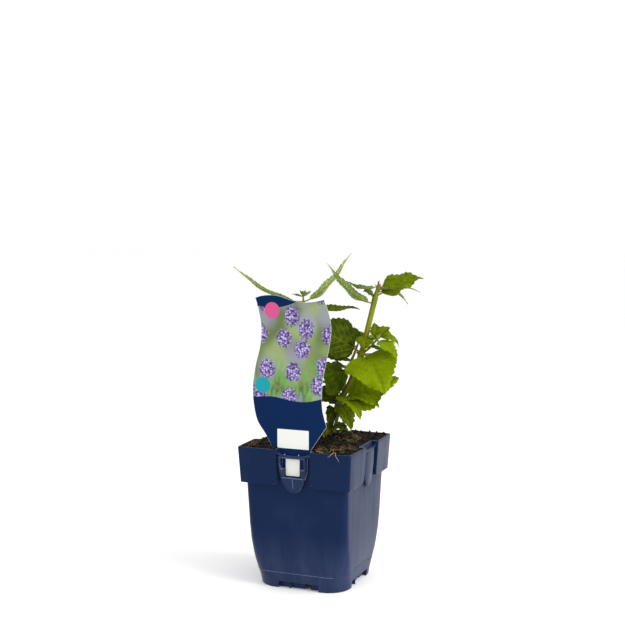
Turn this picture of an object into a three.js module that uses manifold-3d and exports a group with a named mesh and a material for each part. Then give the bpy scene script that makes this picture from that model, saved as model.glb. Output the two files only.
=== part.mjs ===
// A potted giant hyssop: a square nursery pot filled with soil, a plastic picture label in the
// pot's front clip, and three leafy stems with toothed leaves. Millimetres, +Z up. The origin is
// on the ground under the middle of the pot, and the pot's front face looks towards -Y.
import * as THREE from "three";
import { mergeVertices } from "three/addons/utils/BufferGeometryUtils.js";
import Module from "manifold-3d";

const wasm = await Module();
wasm.setup();

// Driving dimensions
const POT_HEIGHT = 132;
const RIM_WIDTH = 111.2;
const COLLAR_FOOT_WIDTH = 107.4;
const COLLAR_BOTTOM = 98.5;
const BODY_WIDTH = 100;
const BASE_WIDTH = 87.2;
const WALL = 1.5;
const RECESS_WIDTH = 33;
const FLOOR_TOP = 8;
const CLIP_WIDTH = 25.8;
const CLIP_BOTTOM = 92.4;
const LABEL_THICKNESS = 0.8;
const SOIL_LEVEL = 131.5;
const SOIL_MOUND = 3.2;
const LEAF_THICKNESS = 0.8;
const CLEARANCE = 0.3;

const DEGREE = Math.PI / 180;
const UP = new THREE.Vector3(0, 0, 1);

// Turns points and triangles into a closed solid.
function solid(points, faces) {
  const mesh = new wasm.Mesh({
    numProp: 3,
    vertProperties: new Float32Array(points.flatMap((p) => [p.x, p.y, p.z])),
    triVerts: new Uint32Array(faces),
  });
  return new wasm.Manifold(mesh);
}

// Turns a closed three.js geometry into a solid.
function solidOf(geometry) {
  const bare = geometry.clone();
  bare.deleteAttribute("normal");
  bare.deleteAttribute("uv");
  const merged = mergeVertices(bare, 1e-4);
  const mesh = new wasm.Mesh({
    numProp: 3,
    vertProperties: new Float32Array(merged.attributes.position.array),
    triVerts: new Uint32Array(merged.index.array),
  });
  return new wasm.Manifold(mesh);
}

function joined(solids) {
  return solids.reduce((all, next) => all.add(next));
}

// A named mesh with its own material, made from a solid.
function piece(name, body, color, roughness) {
  const data = body.getMesh();
  const geometry = new THREE.BufferGeometry();
  geometry.setAttribute("position", new THREE.BufferAttribute(data.vertProperties, 3));
  geometry.setIndex(new THREE.BufferAttribute(data.triVerts, 1));
  geometry.computeVertexNormals();
  const material = new THREE.MeshStandardMaterial({ color, roughness, metalness: 0 });
  const mesh = new THREE.Mesh(geometry, material);
  mesh.name = name;
  return mesh;
}

// Skins a row of equal rings and closes both ends. Each ring runs anticlockwise seen from the
// end towards which the row goes.
function loft(rings) {
  const n = rings[0].length;
  const last = (rings.length - 1) * n;
  const faces = [];
  for (let i = 0; i + 1 < rings.length; i++) {
    for (let j = 0; j < n; j++) {
      const a = i * n + j;
      const b = i * n + ((j + 1) % n);
      faces.push(a, b, b + n, a, b + n, a + n);
    }
  }
  for (let j = 1; j + 1 < n; j++) {
    faces.push(0, j + 1, j, last, last + j, last + j + 1);
  }
  return solid(rings.flat(), faces);
}

// A square with round corners at one height. Its sides may bow outwards.
function squareRing(z, half, corner, bow = 0) {
  const sideStops = bow > 0 ? [-1, -0.5, 0, 0.5, 1] : [-1, 1];
  const cornerSteps = 4;
  const ring = [];
  for (let side = 0; side < 4; side++) {
    const out = new THREE.Vector2(Math.cos(side * 90 * DEGREE), Math.sin(side * 90 * DEGREE));
    const along = new THREE.Vector2(-out.y, out.x);
    const place = (o, a) => {
      const p = out.clone().multiplyScalar(o).addScaledVector(along, a);
      ring.push(new THREE.Vector3(p.x, p.y, z));
    };
    for (const u of sideStops) {
      place(half + bow * (1 - u * u), u * (half - corner));
    }
    for (let k = 1; k < cornerSteps; k++) {
      const turn = (k / cornerSteps) * 90 * DEGREE;
      const centre = half - corner;
      place(centre + corner * Math.cos(turn), centre + corner * Math.sin(turn));
    }
  }
  return ring;
}

// The pot's body from the ground to the rim: height, half width and corner radius.
const BODY_PROFILE = [
  [0, BASE_WIDTH / 2, 21],
  [8, 44.6, 20],
  [16, 45.8, 17.5],
  [24, 46.9, 15],
  [32, 47.7, 13],
  [44, 48.3, 9.5],
  [60, 48.8, 7],
  [COLLAR_BOTTOM, BODY_WIDTH / 2, 5],
  [POT_HEIGHT, BODY_WIDTH / 2 + 0.2, 5],
];

// The collar that stands out from the body at the top: height, half width, corner, bow.
const COLLAR_CORNER = 2.2;
const SMALLEST_CORNER = 0.5;
const COLLAR_PROFILE = [
  [COLLAR_BOTTOM, COLLAR_FOOT_WIDTH / 2, COLLAR_CORNER, 0.4],
  [POT_HEIGHT - 1, RIM_WIDTH / 2, COLLAR_CORNER, 1],
  [POT_HEIGHT, RIM_WIDTH / 2 - 0.5, COLLAR_CORNER, 1],
];

// How far the shapes that cut the pot's inside and its sides run on past it.
const OVERRUN = 6;

// The body's row at any height. Above the rim and below the ground it goes on unchanged.
function bodyAt(z) {
  const level = THREE.MathUtils.clamp(z, 0, POT_HEIGHT);
  const above = Math.max(1, BODY_PROFILE.findIndex((row) => row[0] >= level));
  const [low, high] = [BODY_PROFILE[above - 1], BODY_PROFILE[above]];
  const t = (level - low[0]) / (high[0] - low[0]);
  return [z, THREE.MathUtils.lerp(low[1], high[1], t), THREE.MathUtils.lerp(low[2], high[2], t)];
}

function bodyLoft(from, to, inset) {
  const between = BODY_PROFILE.filter((row) => row[0] > from && row[0] < to);
  const rows = [bodyAt(from), ...between, bodyAt(to)];
  return loft(rows.map(([z, half, corner]) => squareRing(z, half - inset, corner - inset)));
}

function collarLoft(lift, inset) {
  const rows = COLLAR_PROFILE.map((row) => [...row]);
  rows[0][0] += lift;
  if (inset > 0) rows[rows.length - 1] = [POT_HEIGHT + OVERRUN, RIM_WIDTH / 2, COLLAR_CORNER, 1];
  const rounded = (corner) => Math.max(corner - inset, SMALLEST_CORNER);
  return loft(rows.map(([z, half, corner, bow]) => squareRing(z, half - inset, rounded(corner), bow)));
}

// Extrudes an outline drawn in X and Z towards the front, from the plane y = -from to y = -to.
function frontPlate(shape, from, to, curveSegments = 6) {
  const depth = to - from;
  const geometry = new THREE.ExtrudeGeometry(shape, { depth, bevelEnabled: false, curveSegments });
  geometry.rotateX(90 * DEGREE);
  geometry.translate(0, -from, 0);
  return solidOf(geometry);
}

function onFourSides(body) {
  return joined([0, 90, 180, 270].map((angle) => body.rotate([0, 0, angle])));
}

// The recess between two collar panels, whose lower corners are round.
const PANEL_CORNER = 5;

function recess(margin) {
  const half = RECESS_WIDTH / 2 + margin;
  const round = PANEL_CORNER + margin;
  const bottom = COLLAR_BOTTOM + margin;
  const shape = new THREE.Shape();
  shape.moveTo(-half - round, bottom - OVERRUN);
  shape.lineTo(half + round, bottom - OVERRUN);
  shape.lineTo(half + round, bottom);
  shape.absarc(half + round, bottom + round, round, -90 * DEGREE, -180 * DEGREE, true);
  shape.lineTo(half, POT_HEIGHT + OVERRUN);
  shape.lineTo(-half, POT_HEIGHT + OVERRUN);
  shape.lineTo(-half, bottom + round);
  shape.absarc(-half - round, bottom + round, round, 0, -90 * DEGREE, true);
  return onFourSides(frontPlate(shape, BODY_WIDTH / 2 - OVERRUN, RIM_WIDTH / 2 + OVERRUN));
}

// The space inside the pot, drawn in by a gap.
function potSpace(gap) {
  const inset = WALL + gap;
  const panels = collarLoft(inset, inset).subtract(recess(inset));
  return bodyLoft(FLOOR_TOP + gap, POT_HEIGHT + OVERRUN, inset).add(panels);
}

// The label clips. A strap sags across each recess between two collar panels. The tongue hangs
// from it, a little to one side, and narrows to a round end. The label pushes the front tongue
// and its strap outwards. The other three stand nearly straight, behind the collar's face.
const STRAP_BACK = { front: 54, plain: 52.2 };
const STRAP_THICKNESS = 2.2;
const STRAP_TOP = { middle: 127.1, end: 131.4 };
const STRAP_HEIGHT = 1.4;
const STRAP_STEPS = 12;
const CLIP_TOP = 126.4;
const CLIP_ACROSS = -1.1;
const CLIP_TAPER_FROM = 118;
const CLIP_BACK = BODY_WIDTH / 2 + 0.7;
const CLIP_THICKNESS = 2;
const FRONT_LEAN = { from: CLIP_BOTTOM, slope: 0.114 };
const PLAIN_LEAN = { from: CLIP_BOTTOM, slope: 0.04 };
const WINDOW_TOP = 125;
const WINDOW_STEP = 115.3;
const WINDOW_BOTTOM = 107;
const WINDOW_UPPER_HALF = 11.4;
const WINDOW_LOWER_HALF = 7.8;
const CLIP_RIB = { width: 0.9, depth: 1.2, top: 105.8, bottom: 97 };

// The front clip's window, through which the label's tongue shows.
function clipWindow() {
  const opening = new THREE.Path();
  opening.moveTo(-WINDOW_UPPER_HALF, WINDOW_TOP);
  opening.lineTo(-WINDOW_UPPER_HALF, WINDOW_STEP);
  opening.lineTo(-WINDOW_LOWER_HALF, WINDOW_STEP);
  opening.lineTo(-WINDOW_LOWER_HALF, WINDOW_BOTTOM);
  opening.lineTo(WINDOW_LOWER_HALF, WINDOW_BOTTOM);
  opening.lineTo(WINDOW_LOWER_HALF, WINDOW_STEP);
  opening.lineTo(WINDOW_UPPER_HALF, WINDOW_STEP);
  opening.lineTo(WINDOW_UPPER_HALF, WINDOW_TOP);
  return opening;
}

function clipStrap(back) {
  const end = RECESS_WIDTH / 2 + 1;
  const stops = Array.from({ length: STRAP_STEPS + 1 }, (_, k) => (2 * k) / STRAP_STEPS - 1);
  const top = stops.map((u) => {
    const height = THREE.MathUtils.lerp(STRAP_TOP.middle, STRAP_TOP.end, u ** 4);
    return new THREE.Vector2(u * end, height);
  });
  const foot = top.map((p) => new THREE.Vector2(p.x, p.y - STRAP_HEIGHT)).reverse();
  return frontPlate(new THREE.Shape([...top, ...foot]), back, back + STRAP_THICKNESS);
}

function clip(openings, lean, strapBack) {
  const half = CLIP_WIDTH / 2;
  const taper = CLIP_TAPER_FROM - CLIP_BOTTOM;
  const shape = new THREE.Shape();
  shape.moveTo(half, CLIP_TOP);
  shape.lineTo(-half, CLIP_TOP);
  shape.lineTo(-half, CLIP_TAPER_FROM);
  shape.absellipse(0, CLIP_TAPER_FROM, half, taper, -180 * DEGREE, 0, false);
  shape.holes.push(...openings);
  const front = CLIP_BACK + CLIP_THICKNESS;
  const parts = [frontPlate(shape, CLIP_BACK, front, 8)];
  if (openings.length > 0) {
    const { width, depth, top, bottom } = CLIP_RIB;
    const rib = new THREE.BoxGeometry(width, depth, top - bottom);
    rib.translate(0, -front, (top + bottom) / 2);
    parts.push(solidOf(rib));
  }
  const leaning = joined(parts).warp((point) => {
    point[1] -= lean.slope * Math.max(0, point[2] - lean.from);
  });
  return leaning.translate([CLIP_ACROSS, 0, 0]).add(clipStrap(strapBack));
}

function labelClips() {
  const front = clip([clipWindow()], FRONT_LEAN, STRAP_BACK.front);
  const plain = clip([], PLAIN_LEAN, STRAP_BACK.plain);
  return joined([front, ...[90, 180, 270].map((angle) => plain.rotate([0, 0, angle]))]);
}

// The underside: a hollow under the floor with a ring of ribs, a middle disc that reaches the
// ground, wall cut-outs between the corner feet, and drain holes.
const RING_HALF = 39.5;
const RING_CORNER = 17;
const RING_THICKNESS = 1.6;
const RING_NOTCH = { width: 5, height: 9, across: 8.1 };
const DIVIDER = { width: 0.8, across: -8.7 };
const DISC_RADIUS = 12;

// How far the ribs and the disc are sunk into the floor above them.
const SUNK = 0.5;

function underside() {
  const ceiling = FLOOR_TOP - WALL;
  const hollow = bodyLoft(-1, ceiling, WALL);
  const ribOut = loft([0, ceiling + SUNK].map((z) => squareRing(z, RING_HALF, RING_CORNER)));
  const insideHalf = RING_HALF - RING_THICKNESS;
  const insideCorner = RING_CORNER - RING_THICKNESS;
  const ribIn = loft([-1, ceiling + 1].map((z) => squareRing(z, insideHalf, insideCorner)));
  const disc = new THREE.CylinderGeometry(DISC_RADIUS, DISC_RADIUS, ceiling + SUNK, 24);
  disc.rotateX(90 * DEGREE);
  disc.translate(0, 0, (ceiling + SUNK) / 2);
  const notch = new THREE.BoxGeometry(RING_NOTCH.width, OVERRUN, RING_NOTCH.height);
  notch.translate(RING_NOTCH.across, -(RING_HALF - RING_THICKNESS / 2), 0);
  const dividerDepth = BASE_WIDTH / 2 - RING_HALF;
  const divider = new THREE.BoxGeometry(DIVIDER.width, dividerDepth, ceiling + SUNK);
  const dividerMiddle = RING_HALF + dividerDepth / 2 - WALL / 2;
  divider.translate(DIVIDER.across, -dividerMiddle, (ceiling + SUNK) / 2);
  const ribs = ribOut.subtract(ribIn).subtract(onFourSides(solidOf(notch)));
  return { hollow, added: joined([ribs, onFourSides(solidOf(divider)), solidOf(disc)]) };
}

const DRAIN_RADIUS = 4.5;
const DRAIN_PLACE = 26;
const SLOT = { width: 5, length: 14, place: 25 };

function drainHoles() {
  const through = 4;
  const round = new THREE.CylinderGeometry(DRAIN_RADIUS, DRAIN_RADIUS, through, 16);
  round.rotateX(90 * DEGREE);
  round.translate(DRAIN_PLACE, DRAIN_PLACE, FLOOR_TOP);
  const slot = new THREE.BoxGeometry(SLOT.width, SLOT.length, through);
  slot.translate(0, -SLOT.place, FLOOR_TOP);
  return onFourSides(solidOf(round).add(solidOf(slot)));
}

// The cut-outs in the wall's lower edge that leave a foot at each corner.
const CUTOUT_HALF = 20;
const CUTOUT_HEIGHT = 6.4;
const CUTOUT_CORNER = 1;

function footCutouts() {
  const shape = new THREE.Shape();
  const straight = CUTOUT_HALF - CUTOUT_CORNER;
  const shoulder = CUTOUT_HEIGHT - CUTOUT_CORNER;
  shape.moveTo(-CUTOUT_HALF, -2);
  shape.lineTo(CUTOUT_HALF, -2);
  shape.lineTo(CUTOUT_HALF, shoulder);
  shape.absarc(straight, shoulder, CUTOUT_CORNER, 0, 90 * DEGREE, false);
  shape.lineTo(-straight, CUTOUT_HEIGHT);
  shape.absarc(-straight, shoulder, CUTOUT_CORNER, 90 * DEGREE, 180 * DEGREE, false);
  const behindWall = BASE_WIDTH / 2 - 2 * WALL;
  return onFourSides(frontPlate(shape, behindWall, BODY_WIDTH / 2 + OVERRUN, 2));
}

function makePot() {
  const { hollow, added } = underside();
  const shell = bodyLoft(0, POT_HEIGHT, 0).add(collarLoft(0, 0).subtract(recess(0)));
  const walled = shell.subtract(potSpace(0)).subtract(hollow).subtract(footCutouts());
  return walled.add(added).subtract(drainHoles()).add(labelClips());
}

// The soil's surface: a low mound round the stems with lumps, level with the rim at the walls.
const MOUND_PLACE = [12, 14];
const MOUND_SPREAD = 26;
const LUMP_HEIGHT = 0.45;

function soilHeight(x, y) {
  const away = (x - MOUND_PLACE[0]) ** 2 + (y - MOUND_PLACE[1]) ** 2;
  const mound = SOIL_MOUND * Math.exp(-away / (2 * MOUND_SPREAD ** 2));
  const lumps = Math.sin(0.42 * x + 1.3) * Math.cos(0.37 * y + 0.4) + Math.sin(0.23 * x - 0.31 * y);
  return SOIL_LEVEL + mound + LUMP_HEIGHT * lumps;
}

function soilTop() {
  const steps = 13;
  const half = RIM_WIDTH / 2 + OVERRUN;
  const grid = new THREE.BoxGeometry(2 * half, 2 * half, POT_HEIGHT, steps, steps, 1);
  grid.translate(0, 0, POT_HEIGHT / 2);
  const position = grid.attributes.position;
  for (let i = 0; i < position.count; i++) {
    if (position.getZ(i) > 1) {
      position.setZ(i, soilHeight(position.getX(i), position.getY(i)));
    }
  }
  return solidOf(grid);
}

// The picture label: a card of constant width that sways, narrows to the clip and ends in a
// tongue behind it. X and Z points run up the right side, along the top and down the left side.
const LABEL_RIGHT = [
  [31, 155.5], [29.3, 161], [26.9, 171], [26.3, 184], [27.4, 198], [30.8, 215], [34.4, 233],
  [35.2, 245], [33, 257.5], [28.4, 269.5],
];
const LABEL_TOP = [
  [18, 267.3], [7, 266.6], [-4, 268.4], [-16.7, 271.8], [-25.4, 272.1], [-33, 271.1], [-38.5, 269.3],
];
const LABEL_LEFT = [
  [-35.4, 259.2], [-32.6, 243], [-33.8, 226], [-38.4, 207.8], [-41.3, 188], [-40.9, 175], [-37, 157],
  [-28.6, 144.5], [-21.7, POT_HEIGHT + 0.1],
];
const LABEL_NECK = [[15.6, 129], [15.6, POT_HEIGHT + 0.5]];
const LABEL_TONGUE = [[3, 101], [7, 102.2], [10.5, 106], [12.3, 113], [12.3, 124]];
const LABEL_GAP = 0.6;

function makeLabel() {
  const points = (rows) => rows.map(([x, z]) => new THREE.Vector2(x, z));
  const rightFoot = [...LABEL_TONGUE, ...LABEL_NECK];
  const leftFoot = rightFoot.map(([x, z]) => [-x, z]).reverse();
  const shape = new THREE.Shape();
  shape.moveTo(...rightFoot[0]);
  rightFoot.slice(1).forEach((point) => shape.lineTo(...point));
  shape.lineTo(...LABEL_RIGHT[0]);
  shape.splineThru(points(LABEL_RIGHT.slice(1)));
  shape.splineThru(points(LABEL_TOP));
  shape.splineThru(points(LABEL_LEFT));
  leftFoot.forEach((point) => shape.lineTo(...point));
  const from = BODY_WIDTH / 2 + LABEL_GAP;
  return frontPlate(shape, from, from + LABEL_THICKNESS, 2);
}

// A course given by a function of the share of its length.
class Course extends THREE.Curve {
  constructor(place) {
    super();
    this.place = place;
  }

  getPoint(u, target = new THREE.Vector3()) {
    return target.copy(this.place(u));
  }
}

// A square stem along a smooth curve, thinner towards its tip.
function stemSolid(curve, thickAtFoot, thickAtTip, steps) {
  const frames = curve.computeFrenetFrames(steps, false);
  const rings = [];
  for (let i = 0; i <= steps; i++) {
    const t = i / steps;
    const reach = (THREE.MathUtils.lerp(thickAtFoot, thickAtTip, t) / 2) * Math.SQRT2;
    const centre = curve.getPointAt(t);
    const ring = [0, 1, 2, 3].map((k) => {
      const turn = k * 90 * DEGREE;
      return centre
        .clone()
        .addScaledVector(frames.normals[i], reach * Math.cos(turn))
        .addScaledVector(frames.binormals[i], reach * Math.sin(turn));
    });
    rings.push(ring);
  }
  return loft(rings);
}

function pointAtHeight(curve, z) {
  const stops = 400;
  let best = curve.getPointAt(0);
  for (let i = 1; i <= stops; i++) {
    const p = curve.getPointAt(i / stops);
    if (Math.abs(p.z - z) < Math.abs(best.z - z)) best = p;
  }
  return best;
}

// Half the width of an egg-shaped blade with a drawn-out tip, as a share of its greatest half
// width, at a share s of its length.
function bladeForm(s) {
  return (Math.sqrt(s) * (1 - s) ** 1.1) / 0.3702;
}

const PETIOLE_SHARE = 0.14;
const PETIOLE_WIDTH = 1.5;
const PETIOLE_TAPER = 0.8;
const PETIOLE_SUNK = 0.05;
const BLADE_FOOT = 0.12;
const BLADE_TIP_WIDTH = 0.5;
const FOLD = 10;
const TOOTH_SPACING = 7.5;
const FEWEST_TEETH = 3;
const MOST_TEETH = 8;
const TIP_PLACE = 0.7;
const SMOOTH_END = 0.5;
const NOTCH_SHARE = 0.84;
const TOOTH_FORWARD = 0.02;
const NOTCH_BACK = 0.01;

// One leaf: a thin stalk and a blade with saw teeth that point forwards, folded a little along
// its midrib. Heading is measured from +X towards +Y, rise above the horizontal. A positive roll
// lowers the blade's right side, as seen from its stalk.
function leafSolid(base, [heading, rise, length, width, arch, roll]) {
  const teeth = THREE.MathUtils.clamp(Math.round(length / TOOTH_SPACING), FEWEST_TEETH, MOST_TEETH);
  const flat = Math.cos(rise * DEGREE);
  const chord = new THREE.Vector3(
    flat * Math.cos(heading * DEGREE),
    flat * Math.sin(heading * DEGREE),
    Math.sin(rise * DEGREE),
  ).multiplyScalar(length);
  const at = (t) => base.clone().addScaledVector(chord, t).addScaledVector(UP, arch * 4 * t * (1 - t));
  const along = (t) => chord.clone().addScaledVector(UP, arch * 4 * (1 - 2 * t)).normalize();

  const stops = [[0, BLADE_FOOT]];
  for (let k = 0; k < teeth; k++) {
    const tip = (k + TIP_PLACE) / (teeth + SMOOTH_END);
    const notch = (k + 1) / (teeth + SMOOTH_END);
    stops.push([tip, bladeForm(tip), TOOTH_FORWARD]);
    stops.push([notch, NOTCH_SHARE * bladeForm(notch), -NOTCH_BACK]);
  }
  stops.push([1, BLADE_TIP_WIDTH / width]);

  const rings = stops.map(([s, spread, forward = 0]) => {
    const t = PETIOLE_SHARE + (1 - PETIOLE_SHARE) * s;
    const tangent = along(t);
    const flatSide = tangent.clone().cross(UP).normalize();
    const side = flatSide.clone().applyAxisAngle(tangent, roll * DEGREE);
    const normal = side.clone().cross(tangent);
    const reach = (spread * width) / 2;
    const edge = (sign) =>
      at(t)
        .addScaledVector(side, sign * reach * Math.cos(FOLD * DEGREE))
        .addScaledVector(normal, reach * Math.sin(FOLD * DEGREE))
        .addScaledVector(tangent, forward * length);
    const half = LEAF_THICKNESS / 2;
    const upper = [edge(-1), at(t), edge(1)].map((p) => p.addScaledVector(normal, half));
    const lower = [edge(1), at(t), edge(-1)].map((p) => p.addScaledVector(normal, -half));
    return [...upper, ...lower];
  });
  const stalk = new Course((u) => at(u * (PETIOLE_SHARE + PETIOLE_SUNK)));
  return bladeSkin(rings).add(stemSolid(stalk, PETIOLE_WIDTH, PETIOLE_WIDTH * PETIOLE_TAPER, 3));
}

// Skins the leaf's six-point rings so that both faces have the same triangles.
function bladeSkin(rings) {
  const faces = [];
  const strip = (a, b, flip) => {
    for (let i = 0; i + 1 < rings.length; i++) {
      const [p, q] = [i * 6 + a, i * 6 + b];
      if (flip) faces.push(p, q, p + 6, q, q + 6, p + 6);
      else faces.push(p, q, q + 6, p, q + 6, p + 6);
    }
  };
  strip(0, 1, false);
  strip(1, 2, true);
  strip(2, 3, false);
  strip(3, 4, false);
  strip(4, 5, true);
  strip(5, 0, false);
  const last = (rings.length - 1) * 6;
  faces.push(0, 5, 1, 1, 5, 4, 1, 4, 2, 2, 4, 3);
  faces.push(last, last + 1, last + 5, last + 1, last + 4, last + 5, last + 1, last + 2, last + 4);
  faces.push(last + 2, last + 3, last + 4);
  return solid(rings.flat(), faces);
}

// Fuses a stem, its side shoots and their leaves. Each leaf row starts with the height at which
// it leaves its shoot: height, heading, rise, length, width, arch, roll.
function leafyStem(shoots) {
  const solids = [];
  for (const { route, thick, leaves } of shoots) {
    const curve = new THREE.CatmullRomCurve3(route.map((p) => new THREE.Vector3(...p)));
    solids.push(stemSolid(curve, thick[0], thick[1], 3 * route.length));
    for (const [height, ...form] of leaves) {
      solids.push(leafSolid(pointAtHeight(curve, height), form));
    }
  }
  return joined(solids);
}

const STEM_FOOT = 116;

const TALL_STEM = [
  {
    route: [
      [6, 11, STEM_FOOT], [6, 11, 133], [18, 12, 165], [30, 14, 188], [40, 16, 216], [46.2, 18, 243],
      [50, 20, 261], [54, 22, 279],
    ],
    thick: [4.8, 3.8],
    leaves: [
      [277, 210, 10, 30, 12, -4, 24],
      [274, 11, -23, 32, 13, 5, -20],
      [270, 38, 1, 44, 8, 5, 0],
      [266, 172, 26, 14, 11, 2, 45],
      [261, 218, 41, 59, 18, -8, 20],
      [267, 20, 23, 48, 33, 3, 30],
      [229, 285, -35, 18, 21, 3, 0],
      [214, 213, 27, 58, 44, 3, -55],
      [212, 317, -31, 57, 52, 6, 20],
      [212, 80, -22, 52, 30, 6, 0],
      [172, 220, 64, 39, 36, 0, -60],
      [171, 196, 8, 25, 22, 3, -50],
      [170, 5, 23, 60, 52, 0, 50],
      [170, 342, -3, 46, 24, 6, 10],
      [170, 320, -18, 40, 26, 8, 0],
      [167, 232, 6, 25, 18, 4, -40],
      [166, 328, -50, 31, 24, 4, 0],
      [160, 263, -35, 21, 14, 5, -40],
      [146, 277, -30, 18, 9, 2, -40],
      [140, 333, 6, 29, 14, 4, 25],
    ],
  },
  {
    route: [[39, 16, 213], [47, 15, 219], [55, 16, 228]],
    thick: [1.7, 1.3],
    leaves: [
      [228, 125, 56, 18, 13, 0, 0],
      [228, 55, 36, 18, 12, 2, 35],
      [228, 35, -18, 23, 16, 6, 30],
      [228, 217, 20, 9, 7, 1, -30],
      [227, 342, -31, 29, 20, 3, 10],
      [220, 32, -18, 14, 10, 2, 20],
    ],
  },
];

const BACK_STEM = [
  {
    route: [[9, 23, STEM_FOOT], [9, 23, 133], [16, 24, 165], [22, 25, 195], [28, 28, 212], [32, 30, 224]],
    thick: [3, 1.8],
    leaves: [
      [222, 148, 64, 16, 12, 0, -60],
      [219, 211, -14, 39, 28, 0, -40],
      [220, 100, 30, 22, 14, 2, 0],
      [206, 219, 2, 12, 6, 0, -30],
      [198, 197, 1, 30, 18, 2, -12],
      [198, 105, -20, 36, 24, 4, 0],
      [160, 150, 5, 34, 20, 5, 0],
      [160, 40, 0, 30, 18, 5, 0],
    ],
  },
];

const LABEL_SIDE_STEM = [
  {
    route: [[-2, 10, STEM_FOOT], [-2, 10, 134], [-8, 7, 168], [-12, 4, 216], [-13, 0, 268]],
    thick: [4.2, 2.4],
    leaves: [
      [267, 0, 35, 10, 6, 0, -20],
      [267, 208, 14, 11, 6, 0, 20],
      [262, 209, 28, 73, 15, -8, 19],
      [262, 36, 45, 64, 16, -8, -40],
      [250, 22, 7, 53, 18, 2, 16],
      [250, 206, -5, 40, 20, 4, 0],
      [216, 285, 5, 43, 26, 6, 0],
      [216, 102, 9, 43, 26, 4, 0],
      [178, 196, 11, 44, 26, 4, -20],
      [178, 93, 1, 39, 22, 4, 0],
      [148, 314, -26, 26, 8, 2, -20],
      [146, 162, -14, 26, 14, 4, 0],
    ],
  },
];

// The plain round hole in which a stem stands. Its radius is this share of the stem's thickness.
const HOLE_SHARE = 0.9;

function stemHole([{ route, thick }]) {
  const depth = POT_HEIGHT + 2 * OVERRUN - STEM_FOOT;
  const radius = HOLE_SHARE * thick[0];
  const hole = new THREE.CylinderGeometry(radius, radius, depth, 12);
  hole.rotateX(90 * DEGREE);
  hole.translate(route[0][0], route[0][1], STEM_FOOT - CLEARANCE + depth / 2);
  return solidOf(hole);
}

function makeSoil(stems) {
  const filled = potSpace(CLEARANCE).intersect(soilTop());
  return stems.reduce((soil, stem) => soil.subtract(stemHole(stem)), filled);
}

const root = new THREE.Group();
root.add(
  piece("pot", makePot(), 0x24304a, 0.5),
  piece("soil", makeSoil([TALL_STEM, BACK_STEM, LABEL_SIDE_STEM]), 0x1d1714, 0.95),
  piece("label", makeLabel(), 0x6f8f5c, 0.35),
  piece("leafy_stem_tall", leafyStem(TALL_STEM), 0x5f7f10, 0.6),
  piece("leafy_stem_back", leafyStem(BACK_STEM), 0x456008, 0.6),
  piece("leafy_stem_by_label", leafyStem(LABEL_SIDE_STEM), 0x6b8a30, 0.6),
);

export default root;
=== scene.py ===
"""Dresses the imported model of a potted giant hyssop: a navy plastic nursery pot with label clips,
peat with crumbs and fibres, a printed picture label and three leafy stems. X runs to the right, Y
to the back and Z up. Lengths are millimetres. Only settings, lights, the camera, finished meshes and
patterns on Object coordinates use metres."""

import math

import bpy
import numpy as np
from bpy.props import FloatProperty, FloatVectorProperty, IntProperty, PointerProperty
from mathutils import Matrix, Vector, noise


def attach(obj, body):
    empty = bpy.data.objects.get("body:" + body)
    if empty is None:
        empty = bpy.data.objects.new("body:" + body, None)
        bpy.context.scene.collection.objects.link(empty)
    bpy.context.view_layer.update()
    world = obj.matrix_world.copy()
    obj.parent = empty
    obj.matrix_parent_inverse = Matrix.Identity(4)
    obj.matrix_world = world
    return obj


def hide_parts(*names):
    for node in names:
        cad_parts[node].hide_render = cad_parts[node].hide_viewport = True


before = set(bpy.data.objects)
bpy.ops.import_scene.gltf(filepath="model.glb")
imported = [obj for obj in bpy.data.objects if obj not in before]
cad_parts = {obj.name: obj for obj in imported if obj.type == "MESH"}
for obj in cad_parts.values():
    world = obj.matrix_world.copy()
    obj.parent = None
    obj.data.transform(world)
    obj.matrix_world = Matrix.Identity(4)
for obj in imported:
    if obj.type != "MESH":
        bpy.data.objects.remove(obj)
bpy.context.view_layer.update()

bl_info = {
    "name": "Potted giant hyssop",
    "version": (1, 0, 0),
    "blender": (4, 5, 0),
    "location": "3D View > Sidebar > Hyssop",
    "description": "Makes a young giant hyssop in a square nursery pot with its picture label",
    "category": "Add Mesh",
}

MM = 0.001
UP = np.array([0.0, 0.0, 1.0])
SIDES = (0, 90, 180, 270)

# The pot: half a side and the corners' radius of its square sections, by height. The collar's
# sides bow outwards.
POT_HEIGHT = 132
FLOOR_TOP = 8
BODY_HEIGHTS = [0, 8, 16, 24, 32, 44, 60, 98.5, 132]
BODY_HALVES = [43.6, 44.6, 45.8, 46.9, 47.7, 48.3, 48.8, 50, 50.2]
BODY_CORNERS = [21, 20, 17.5, 15, 13, 9.5, 7, 5, 5]
COLLAR_BOTTOM = 98.5
COLLAR_CORNER = 2.2
COLLAR_HEIGHTS = [98.5, 131]
COLLAR_HALVES = [53.7, 55.6]
COLLAR_BOWS = [0.4, 1]

# The recess in the middle of each side, between collar panels with round lower corners
RECESS_HALF = 16.5
PANEL_ROUND = 5

# The cut-outs in the wall's lower edge, between the corner feet
CUTOUT_HALF = 20
CUTOUT_HEIGHT = 6.4
CUTOUT_ROUND = 1

# The moulded seam round the body
SEAM_HEIGHT = 15
SEAM_HALF = 0.35
SEAM_CREST_HALF = 0.15
SEAM_OUT = 0.16

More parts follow.
